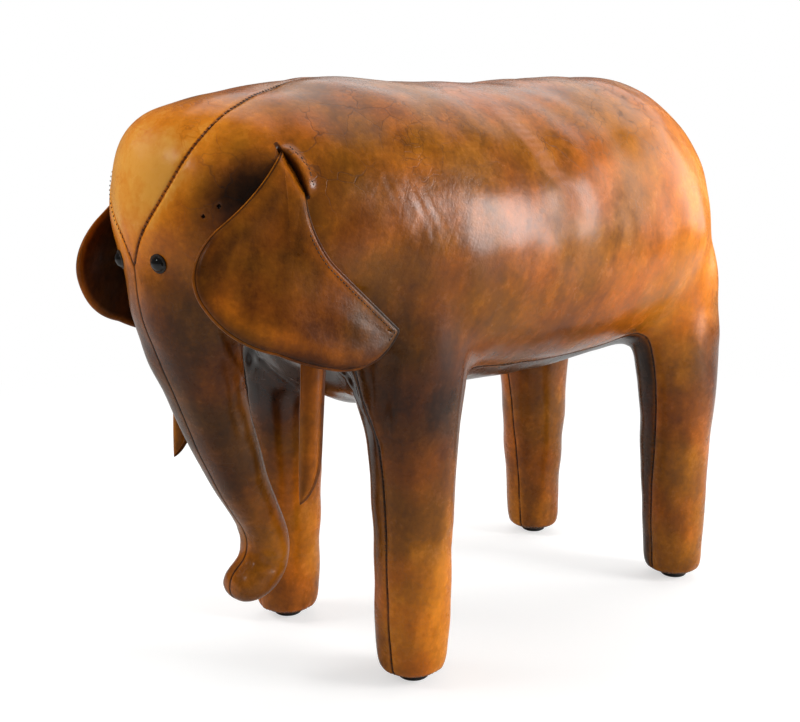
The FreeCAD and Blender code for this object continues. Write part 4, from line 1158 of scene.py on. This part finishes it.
def turned(profile, place, axis):
    """A profile of radius and height turned about an axis."""
    side = unit(np.cross([0.0, 0.0, 1.0], axis))
    other = np.cross(axis, side)
    round_way = np.cos(AROUND)[..., None] * side + np.sin(AROUND)[..., None] * other
    radius, height = profile[:, :1, None], profile[:, 1:, None]
    return skin_rings(place + radius * round_way + height * axis)


eyes = {}
for side in SIDES:
    low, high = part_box(f"{side}_eye")
    middle = (np.array(low) + np.array(high)) / 2 / MM
    nearby = np.linalg.norm(shaped - middle, axis=1)
    place = shaped[np.argmin(nearby)]
    facing = unit(normals[nearby < nearby.min() + 12].mean(0))
    eye_points, eye_faces = turned(EYE_PROFILE, place, facing)
    eyes[side] = put_mesh(f"glass_{side}_eye", eye_points, eye_faces)
    print(side, "eye at", np.round(place, 1))

# %% [markdown]
# ## Threads
# A saddler's thread shows as a short tick wherever it crosses a seam. Each tick is a small capsule
# laid across the groove. A capsule of a few dozen faces is worked out once and placed at all the
# stitches as one array, turned to the seam's direction and the hide's normal.

# %% Lay the stitches
THREAD_ROWS = np.array([(0.75, -0.8), (1.0, -0.35), (1.0, 0.35), (0.75, 0.8)])  # radius, place
THREAD_TURNS = np.arange(6) / 6 * 2 * np.pi
STITCH_SINK, EAR_PITCH, TUSK_PITCH = 1.5, 3.4, 3.6
COVER_THREAD, SLIT_THREAD, EAR_THREAD, TUSK_THREAD = (  # length and radius of a tick
    (2.3, 0.4), (1.9, 0.4), (2.3, 0.45), (2.3, 0.55))


def thread_ticks(name, places, along, facing, length, radius):
    """Capsules at places: a thin oval carried along the given way, its ends drawn in."""
    along = unit(along - facing * (along * facing).sum(1, keepdims=True))
    turn, beside = THREAD_TURNS[None, :, None, None], np.cross(facing, along)
    out = np.cos(turn) * facing + np.sin(turn) * beside
    wide, at = (THREAD_ROWS[:, k, None, None, None] for k in (0, 1))
    body = places + at * along * length / 2 + wide * out * radius
    caps = places + np.array([-1.0, 1.0])[:, None, None] * along * length / 2
    count, rows, turns = len(places), len(THREAD_ROWS), len(THREAD_TURNS)
    points = np.concatenate([body.reshape(rows * turns, count, 3), caps])
    points = points.transpose(1, 0, 2).reshape(-1, 3)
    here = np.arange(rows * turns).reshape(rows, turns)
    after = np.roll(here, -1, 1)
    quads = np.stack([here[:-1], here[1:], after[1:], after[:-1]], -1).reshape(-1, 4)
    fans = np.concatenate([np.stack([here[0], after[0], np.full(turns, rows * turns)], 1),
                           np.stack([after[-1], here[-1], np.full(turns, rows * turns + 1)], 1)])
    start = (np.arange(count) * (rows * turns + 2))[:, None, None]
    return put_mesh(name, points, [(quads + start).reshape(-1, 4), (fans + start).reshape(-1, 3)])


def nearest_normal(places, block=24):
    """Normal of the cover at its nearest point to each place."""
    found = [np.argmin(((points[None] - places[k:k + block, None]) ** 2).sum(2), 1)
             for k in range(0, len(places), block)]
    return normals[np.concatenate(found)]


seam_facing = nearest_normal(spots)
seam_threads = thread_ticks("cover_stitches", spots - seam_facing * STITCH_SINK,
                            np.cross(seam_facing, travel), seam_facing, *COVER_THREAD)
at_sole = np.abs(spots[:, 2] - SOLE_SEAM_Z) < 1.0
each = len(seam_threads.data.vertices) // len(spots)
set_attribute(seam_threads, "pale", np.repeat(at_sole, each))
print("cover stitches:", len(spots))

# %% Stitches behind the slits
LIP_OFF, LIP_STITCHES = 6.0, 12
lip_at = np.linspace(1.0, EAR_SLIT - 1.0, LIP_STITCHES)[:, None]
lip_line = SLIT_TOP + lip_at * SLIT_WAY + (LIP_OFF + slit_bow(lip_at)) * SLIT_REAR
lip_near = np.argmin(((shaped[None] - lip_line[:, None]) ** 2).sum(2), 1)
lip_row = shaped[lip_near], np.tile(SLIT_WAY, (LIP_STITCHES, 1)), normals[lip_near]
lip_row = [np.concatenate([values, values * MIRROR]) for values in lip_row]
lip_threads = thread_ticks("slit_stitches", *lip_row, *SLIT_THREAD)
print("slit stitches:", len(lip_row[0]))


# %% Stitches on the ear flanges and on the tusks
def flange_row(face, inside):
    """Places on the stitch line of one face, along the rear flange, and the way along it."""
    row = int(np.argmin(np.abs(np.median(inside, 1) - EAR_SEWN)))
    return pitched(face[row][at_rear > 0.6], EAR_PITCH)


def tusk_row(half_ring):
    """Places down the stitch line on one half of a tusk."""
    inside = half_ring[..., 1].max(1, keepdims=True) - half_ring[..., 1]
    line = half_ring[np.arange(len(half_ring)), np.argmin(np.abs(inside - TUSK_SEWN), 1)]
    line = line[np.argsort(-line[:, 2])]
    down = np.arange(6.0, TUSK_LENGTH * 0.93, TUSK_PITCH) - TUSK_ROOT[2]
    return np.stack([np.interp(down, -line[:, 2], line[:, k]) for k in range(3)], 1)


def to_and_fro(way, front, behind):
    """One direction for the places in front, and its opposite for those behind."""
    return np.concatenate([np.tile(way, (len(front), 1)), np.tile(-way, (len(behind), 1))])


top_spots, top_way = flange_row(outer_face, outer_in)
low_spots, low_way = flange_row(inner_face, inner_in)
ear_spots, ear_way = np.concatenate([top_spots, low_spots]), np.concatenate([top_way, low_way])
ear_facing = to_and_fro(EAR_OUT, top_spots, low_spots)
half_turn = AROUND.size // 2
tusk_rows = tusk_row(tusk_grid[:, :half_turn]), tusk_row(tusk_grid[:, :half_turn:-1])
tusk_spots, tusk_facing = np.concatenate(tusk_rows), to_and_fro(np.array([1.0, 0, 0]), *tusk_rows)
tusk_way = np.tile([0.0, 0.0, -1.0], (len(tusk_spots), 1))
ear_threads, tusk_threads = {}, {}
for side, flip in SIDES.items():
    ear_threads[side] = thread_ticks(f"{side}_ear_stitches", ear_spots * flip, ear_way * flip,
                                     ear_facing * flip, *EAR_THREAD)
for side, flip in SIDES.items():
    tusk_threads[side] = thread_ticks(f"{side}_tusk_stitches", tusk_spots * flip, tusk_way,
                                      tusk_facing * flip, *TUSK_THREAD)
print("stitches on an ear:", len(ear_spots), "and on a tusk:", len(tusk_spots))

# %% [markdown]
# ## Light and dark on the hide
# The hide was dyed tan and waxed, and decades of hands and boots have darkened it unevenly, nearly
# black at the tip of the trunk. Some of the orange on the forehead and the rump is painted light, the
# dark in front of the ears is painted shadow of the ears and behind them partly so, and the hip and
# the belly gusset carry painted shade, on the gusset along with grime. The large patches are a sum of
# soft round spots in the stool's own frame, kept as one number per point. The finish adds finer
# mottling to it.

# %% Tone of the hide
# Some patches are painted light: the forehead patch and the large rump patch are partly painted
# light; the three small dark patches in front of each ear are painted shadow of the ear; the dark
# patch on the hip is painted shade under the rump; the two dark patches on the shoulder behind the
# ear are partly painted shadow of the ear.
WEAR_AND_PAINTED_LIGHT = np.array([  # distance from the middle, y, z, reach, change of tone
    (12, -345, 445, 65, 0.44), (50, -300, 505, 70, 0.16), (97, -292, 452, 25, -0.36),
    (84, -308, 436, 26, -0.26), (100, 270, 530, 80, 0.14), (105, -280, 420, 45, -0.08),
    (100, 320, 400, 130, 0.28), (60, 330, 250, 110, 0.14), (165, 130, 340, 110, 0.08),
    (150, 200, 470, 110, 0.12), (140, 285, 250, 60, -0.38), (140, 290, 120, 90, 0.06),
    (130, -215, 400, 75, -0.05), (125, -170, 320, 60, -0.10), (60, -190, 520, 80, -0.02),
    (150, 20, 250, 60, -0.24), (120, 60, 520, 120, 0.02), (30, -320, 300, 80, -0.24),
    (30, -270, 200, 70, -0.18), (20, -225, 70, 42, -0.22), (20, -195, 120, 40, 0.28),
    (125, -140, 265, 55, -0.36), (130, -128, 150, 60, -0.12), (125, -88, 120, 45, 0.22),
    (120, -128, 45, 55, 0.06), (75, -110, 90, 90, 0.18), (75, 270, 120, 90, -0.04),
    (0, 100, 240, 120, -0.10),
])
MEAN_TONE = 0.56


def patches(p):
    """Sum of soft round patches, alike on both sides: change times exp(-(distance / reach)^2)."""
    q = to_left(p)
    return sum(row[4] * np.exp(-((q - row[:3]) ** 2).sum(1) / row[3] ** 2) for row in WEAR_AND_PAINTED_LIGHT)


def cover_tone(p):
    """Cover tone: the patches, and grime and painted shade on the belly gusset, most under the belly.
    """
    x, y, z = p.T
    # the gusset's darkening is grime and painted shade: most above z 190 under the belly, and inside
    # the left hind leg
    inside = ease(-2, 6, boat_field(p)) * (1 - ease(330, BOAT_TOP, z))
    shaded = 0.08 + 0.22 * ease(-40, 40, x) * ease(0, 120, y) + 0.18 * ease(190, 250, z)
    return MEAN_TONE + patches(p) - inside * shaded


# a strap once lay over the left flank and left a pale, cross-hatched band; its middle line
STRAP = np.array([(106, -32, 507), (131, -19, 483), (147, -11, 459),
                  (159, 10, 432), (164, 15, 401), (162, 14, 368)], float)
WRINKLES, WRINKLE_REACH = np.array([145.0, -150.0, 420.0]), np.array([50.0, 55.0, 55.0])
OFF_STRAP = 99.0
along_strap = np.linspace(0, len(STRAP) - 1, 60)
strap_line = np.stack([smooth_curve(np.arange(len(STRAP)), values, along_strap)
                       for values in STRAP.T], 1)
for name, obj in hide.items():
    kept = get_points(obj.data)
    x, y, z = kept.T
    off_strap = np.full(len(kept), OFF_STRAP)
    by_strap = (x > 60) & (np.abs(y) < 70) & (z > 340)
    off_strap[by_strap] = closest(kept[by_strap], strap_line)
    wrinkled = np.exp(-(((to_left(kept) - WRINKLES) / WRINKLE_REACH) ** 2).sum(1))
    on_chest = ease(200, 240, z) * (1 - ease(-110, -30, y)) * (name == "belly_gusset")
    set_attribute(obj, "band", (1 - ease(6, 13, off_strap)) * (0.15 + 0.85 * ease(415, 460, z)))
    set_attribute(obj, "tone", np.clip(cover_tone(kept), 0.02, 1))
    set_attribute(obj, "wrinkle", 0.08 + wrinkled)
    set_attribute(obj, "dry", 0.2 + 0.8 * ease(390, 490, z))
    set_attribute(obj, "wax", 0.3 + 0.6 * on_chest)
print("tone set on", len(hide), "panels")

# %% Tone of ears, tusks and tail
down = both_faces(outer_plan[..., 1], inner_plan[..., 1], 90.0)
back_ply = both_faces(outer_in * 0, np.ones_like(inner_in), 0.0)
fore_edge = ease(0.0, 0.35, -inward[:, 0])
outer_rim, inner_rim = ((1 - ease(3, 7, inside)) * fore_edge for inside in (outer_in, inner_in))
rim = both_faces(outer_rim, inner_rim, 0.0)
puffed = both_faces(np.exp(-((outer_in - 14) / 6) ** 2) * fore_edge, inner_in * 0, 0.0)
# Painted light on the ears: the top lighter and the lower part darker as painted light and shade, the
# inner ply darker as painted shade with a lighter rim, and a painted highlight low on the puffed
# front border, which is darker higher up.
ear_tone_with_painted_light = 0.46 + 0.12 * (1 - ease(5, 60, down)) - 0.12 * ease(100, 165, down)
ear_tone_with_painted_light += rim * (0.34 * back_ply - 0.10) - 0.20 * back_ply
ear_tone_with_painted_light += puffed * (0.14 * ease(60, 90, down) - 0.10 * (1 - ease(60, 90, down)))
for obj in ears.values():
    set_attribute(obj, "tone", ear_tone_with_painted_light)
    set_attribute(obj, "wrinkle", 0.35 * (1 - ease(20, 70, down)))
    set_attribute(obj, "dry", 0.15)
    set_attribute(obj, "wax", 0.06)
from_rear = (tusk_grid[..., 1].max(1, keepdims=True) - tusk_grid[..., 1]).ravel()
from_rear = np.concatenate([from_rear, [9, 0]])  # the two poles come last
for obj in tusks.values():
    set_attribute(obj, "tone", 0.54 - 0.26 * (1 - ease(2.6, 4.4, from_rear)))
    set_attribute(obj, "seam", np.clip(np.abs(from_rear - TUSK_SEWN) * 2 / SEAM_REACH, 0, 1))
    set_attribute(obj, "wax", 0.1)
for name, value in (("tone", 0.5), ("seam", 1.0), ("wax", 0.2)):
    set_attribute(tail, name, value)
print("tone set on ears, tusks and tail")

# %% [markdown]
# ## Waxed hide
# Thick cattle hide, vegetable tanned, dyed and waxed. What the eye gets is a warm brown that is
# lighter where it rubs and darker along the seams, a fine pore pattern, short cracks where it has
# dried, and the broad soft shine of wax. The colour is a ramp over the tone, the relief is a bump
# in real millimetres, and the wax is a coat of its own.

# %% Colours and node patterns
SHADES = [(0.00, "#160903"), (0.16, "#341705"), (0.34, "#5C2D07"), (0.52, "#8A4809"),
          (0.70, "#C4680E"), (0.86, "#EE8A1A"), (1.00, "#FCAE46")]
OLIVE = [(0.00, "#140B03"), (0.16, "#2C1A04"), (0.34, "#513206"), (0.52, "#7C4C08"),
         (0.70, "#AC6E0D"), (0.86, "#D28B1C"), (1.00, "#ECAE48")]
TURN = 6.28  # a wave texture counts its bands in turns
OWN_UNITS = 1000  # size that leaves the units of a stretched place as they are


def shade_ramp(tree, value, shades):
    """Colour ramp over a value, its stops given as sRGB hex."""
    ramp = add(tree, "ShaderNodeValToRGB", {0: value})
    stops = ramp.color_ramp.elements
    while len(stops) < len(shades):
        stops.new(1.0)
    for stop, (place, shade) in zip(stops, shades):
        stop.position, stop.color = place, linear(shade)
    return ramp.outputs[0]


def mixed(tree, share, first, second):
    """Colour at a share of the way from one colour to another."""
    return add(tree, "ShaderNodeMix", {0: share, 6: first, 7: second}, data_type="RGBA").outputs[2]


def attribute(tree, name):
    """Value that a piece keeps at its points."""
    return add(tree, "ShaderNodeAttribute", attribute_name=name).outputs["Fac"]


def noise(tree, place, size, detail, **more):
    """Noise whose blotches are about a size in millimetres."""
    inputs = {"Vector": place, "Scale": 1000 / size, "Detail": detail, **more}
    return add(tree, "ShaderNodeTexNoise", inputs).outputs[0]


def bands(tree, place, pitch, wobble, **settings):
    """Stripes at a pitch in millimetres, with a wobble."""
    inputs = {"Vector": place, "Scale": 1000 / pitch / TURN, "Distortion": wobble}
    return add(tree, "ShaderNodeTexWave", inputs, **settings).outputs["Fac"]


def stretched(tree, place, size, turn=(0, 0, 0)):
    """Object coordinates, turned first, then in units of three sizes in millimetres."""
    place = add(tree, "ShaderNodeMapping", {"Vector": place, "Rotation": turn}).outputs[0]
    scale = [1000 / s for s in size]
    return add(tree, "ShaderNodeMapping", {"Vector": place, "Scale": scale}).outputs[0]


def bump(tree, height, strength, depth):
    """Relief of a depth in millimetres at full height, as a normal."""
    inputs = {"Height": height, "Strength": strength, "Distance": depth * MM}
    return add(tree, "ShaderNodeBump", inputs).outputs[0]


def surface(tree, inputs):
    """Principled surface with the given inputs, as the material's output."""
    shader = add(tree, "ShaderNodeBsdfPrincipled", inputs)
    add(tree, "ShaderNodeOutputMaterial", {"Surface": shader.outputs[0]})


# %% Waxed hide finish
def dry_cracks(tree, here, dried):
    """Long and short cracks: thin lines between cells of a size in millimetres, on coordinates that
    drift to and fro, in patches where the hide is dry."""
    drift = add(tree, "ShaderNodeTexNoise", {"Vector": here, "Scale": 1000 / 30, "Detail": 3})
    centred = add(tree, "ShaderNodeVectorMath", {0: drift.outputs["Color"], 1: (0.5, 0.5, 0.5)},
                  operation="SUBTRACT").outputs[0]
    bent = add(tree, "ShaderNodeVectorMath", {0: centred, 1: (0.035, 0.035, 0.035), 2: here},
               operation="MULTIPLY_ADD").outputs[0]

    def cracks(size, width, patch, low, high):
        """Cracks of one size, in the patches of a noise above a level."""
        cells = add(tree, "ShaderNodeTexVoronoi", {"Vector": bent, "Scale": 1000 / size},
                    feature="DISTANCE_TO_EDGE").outputs["Distance"]
        lines = mapped(tree, cells, 0.0, width / size, 1.0, 0.0)
        return product(tree, lines, mapped(tree, noise(tree, here, patch, 2), low, high), dried)

    return cracks(34, 0.8, 110, 0.42, 0.62), cracks(11, 0.6, 60, 0.50, 0.68)


def waxed_hide():
    """Tone plus mottle gives the colour; cracks, pores and wrinkles the relief; wax the coat."""
    made, tree, here = new_finish("waxed_tan_hide")
    names = ("tone", "seam", "wrinkle", "dry", "hole", "band", "wax")
    tone, seam, wrinkle, dried, hole, band, wax = (attribute(tree, name) for name in names)
    blotch = noise(tree, here, 95, 7, Roughness=0.6)
    mottle = noise(tree, here, 27, 6, Roughness=0.62)
    fleck = noise(tree, here, 5, 4, Roughness=0.6)
    streak = noise(tree, stretched(tree, here, (16, 16, 90), (0.25, 0.1, 0)), OWN_UNITS, 4)
    crease = noise(tree, stretched(tree, here, (11, 13, 75), (0.35, -0.15, 0)), OWN_UNITS, 3,
                   Distortion=1.2)
    long_crack, short_crack = dry_cracks(tree, here, dried)
    at_seam = mapped(tree, seam, 0.02, 0.14, 1.0, 0.0)
    rubbed = mapped(tree, seam, 0.18, 0.85, 1.0, 0.0)
    hatch = bands(tree, stretched(tree, here, (2.6, 2.6, 2.6), (0.5, 0, 0)), OWN_UNITS, 2.0)
    hatch = product(tree, hatch, band)

    # hole paints shade into the pin holes; at_seam darkens the seams and, in the slits' slots, paints
    # shade
    shade = weighted(tree, (tone, 1.0), (blotch, 0.34), (mottle, 0.32), (fleck, 0.22),
                     (streak, 0.26), (0.57, -1.0), (at_seam, -0.34), (rubbed, 0.05),
                     (long_crack, -0.13), (short_crack, -0.09), (hole, -0.8))
    olive = product(tree, mapped(tree, noise(tree, here, 75, 3), 0.36, 0.66, 0.0, 0.65),
                    mapped(tree, tone, 0.62, 0.85, 1.0, 0.15))
    colour = mixed(tree, olive, shade_ramp(tree, shade, SHADES), shade_ramp(tree, shade, OLIVE))
    bleached = weighted(tree, (band, 0.30), (hatch, 0.22))
    colour = mixed(tree, bleached, colour, linear("#C07A52"))
    rough = weighted(tree, (mottle, 0.18), (0.18, 1.0), (wax, -0.2), (long_crack, 0.2),
                     (at_seam, 0.2), (blotch, 0.12))
    dull = weighted(tree, (mottle, 0.30), (fleck, 0.10), (0.04, 1.0))

    pores = add(tree, "ShaderNodeTexVoronoi", {"Vector": here, "Scale": 1000 / 1.9},
                feature="SMOOTH_F1").outputs["Distance"]
    height = weighted(tree, (pores, 0.09), (fleck, 0.10), (long_crack, -0.15), (short_crack, -0.10),
                      (mottle, 0.4), (product(tree, crease, wrinkle), 0.55), (hatch, 0.12),
                      (band, -0.25))
    surface(tree, {"Base Color": colour, "Roughness": rough, "Normal": bump(tree, height, 1.0, 1.0),
                   "Specular IOR Level": 0.14, "Coat Weight": wax, "Coat Roughness": dull})
    return made


hide_finish = waxed_hide()
for obj in [*hide.values(), *ears.values(), *tusks.values(), tail]:
    obj.data.materials.append(hide_finish)
print("hide finish:", len(hide_finish.node_tree.nodes), "nodes")

# %% [markdown]
# ## Thread, glass, rubber, steel and beech
# The thread is waxed linen, nearly black on the seams and paler where the soles are sewn. The eyes
# are pressed black glass, the feet moulded rubber. The frame inside is planed beech with plain
# steel fittings; it shows only when a panel is taken off, but it is finished as well.


# %% Thread and glass
def waxed_thread():
    """Two-ply twist about 1.2 mm long as slanting bands, dark or pale by the attribute."""
    made, tree, here = new_finish("waxed_linen_thread")
    twist = bands(tree, here, 1.2, 1.5, bands_direction="DIAGONAL")
    dark = shade_ramp(tree, twist, [(0.0, "#160B05"), (1.0, "#3A2210")])
    light = shade_ramp(tree, twist, [(0.0, "#5E4022"), (1.0, "#A88458")])
    colour = mixed(tree, attribute(tree, "pale"), dark, light)
    surface(tree, {"Base Color": colour, "Roughness": 0.6, "Normal": bump(tree, twist, 0.6, 0.2)})
    return made


def black_glass():
    """Pressed glass: a polished dome in a rim that years of wax have dulled."""
    made, tree, here = new_finish("pressed_black_glass")
    rim, dust = attribute(tree, "rim"), noise(tree, here, 2.0, 3)
    worn = weighted(tree, (rim, 0.7), (dust, 0.3))
    colour = shade_ramp(tree, worn, [(0.0, "#040404"), (1.0, "#2A2019")])
    rough = weighted(tree, (rim, 0.42), (dust, 0.08), (0.03, 1.0))
    surface(tree, {"Base Color": colour, "Roughness": rough, "IOR": 1.52})
    return made


thread_finish = waxed_thread()
for obj in [seam_threads, lip_threads, *ear_threads.values(), *tusk_threads.values()]:
    obj.data.materials.append(thread_finish)
eye_finish = black_glass()
on_rim = np.repeat(ease(5.8, 6.6, EYE_PROFILE[:, 0]), AROUND.size)
for obj in eyes.values():
    set_attribute(obj, "rim", np.concatenate([on_rim, [1, 0]]))
    obj.data.materials.append(eye_finish)
print("thread and glass ready")


# %% Rubber, steel and beech
def moulded_rubber():
    """Black moulded rubber: matt, with a fine cast grain and grey scuffs."""
    made, tree, here = new_finish("moulded_black_rubber")
    grain, scuff = noise(tree, here, 0.8, 2), noise(tree, here, 9, 4)
    colour = shade_ramp(tree, scuff, [(0.35, "#0B0A0A"), (0.62, "#171514"), (0.8, "#2E2A27")])
    rough = weighted(tree, (scuff, 0.3), (0.4, 1.0))
    cast = bump(tree, grain, 0.5, 0.15)
    surface(tree, {"Base Color": colour, "Roughness": rough, "Normal": cast})
    return made


def drawn_steel():
    """Plain drawn steel: grey, with a fine grain and a little tarnish."""
    made, tree, here = new_finish("drawn_steel")
    grain, tarnish = noise(tree, here, 0.9, 2), noise(tree, here, 14, 4)
    colour = shade_ramp(tree, tarnish, [(0.35, "#6F6A63"), (0.65, "#A9A7A3")])
    rough = weighted(tree, (grain, 0.2), (tarnish, 0.2), (0.2, 1.0))
    surface(tree, {"Base Color": colour, "Metallic": 1.0, "Roughness": rough})
    return made


def planed_beech(name, along):
    """Beech planed along the given axis: fine rays about 6 mm long in broad, faint bands."""
    made, tree, here = new_finish(name)

    def grain(length, width, detail):
        """Noise drawn out along the axis, its length and width in millimetres."""
        size = [length if k == along else width for k in range(3)]
        return noise(tree, stretched(tree, here, size), OWN_UNITS, detail)

    broad, rays = grain(180, 9, 4), grain(6, 0.9, 2)
    shade = weighted(tree, (broad, 0.7), (rays, 0.3))
    colour = shade_ramp(tree, shade, [(0.32, "#A97A4C"), (0.52, "#C79A68"), (0.7, "#DDB88A")])
    surface(tree, {"Base Color": colour, "Roughness": 0.55, "Normal": bump(tree, rays, 0.5, 0.15)})
    return made


rubber, steel = moulded_rubber(), drawn_steel()
WAYS = ("across", "lengthwise", "upright")
beech = [planed_beech(f"planed_beech_{way}", axis) for axis, way in enumerate(WAYS)]
INNER = {"foot_rubber": rubber, "steel": steel}
for part_row in frame["record"]["subparts"]:
    obj = frame["nodes"][part_row["node"]]
    low, high = (np.array(c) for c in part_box(part_row["node"]))
    finish = INNER.get(part_row["material_slot"], beech[int(np.argmax(high - low))])
    obj.data.materials.clear()
    obj.data.materials.append(finish)

# %% [markdown]
# ## Ride and replace
# Every piece rides on a body of the frame and stands for the solids it dresses. The four panels are
# stuffed; the side panels and the forehead gusset stand for the packing behind them as well.

# %% Tie the pieces to the frame
PACKING = {"left_side_panel": ("body_packing", "front_left_leg_packing", "hind_left_leg_packing"),
           "right_side_panel": ("front_right_leg_packing", "hind_right_leg_packing",
                                "trunk_packing"),
           "forehead_gusset": ("head_packing",)}
for name, obj in hide.items():
    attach(obj, "body")
    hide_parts(name, *PACKING.get(name, ()))
for side in ("left", "right"):
    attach(ears[side], f"{side}_ear")
    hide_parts(f"{side}_ear_outer", f"{side}_ear_inner", f"{side}_ear_root")
    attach(tusks[side], f"{side}_tusk")
    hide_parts(f"{side}_tusk_cover", f"{side}_tusk_core")
    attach(eyes[side], "body")
    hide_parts(f"{side}_eye")
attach(seam_threads, "body")
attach(lip_threads, "body")
for side in ("left", "right"):
    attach(ear_threads[side], f"{side}_ear")
    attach(tusk_threads[side], f"{side}_tusk")
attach(tail, "tail")
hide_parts("tail_cover", "tail_core")
print("pieces tied:", len(hide) + 2 * 3 + 1)
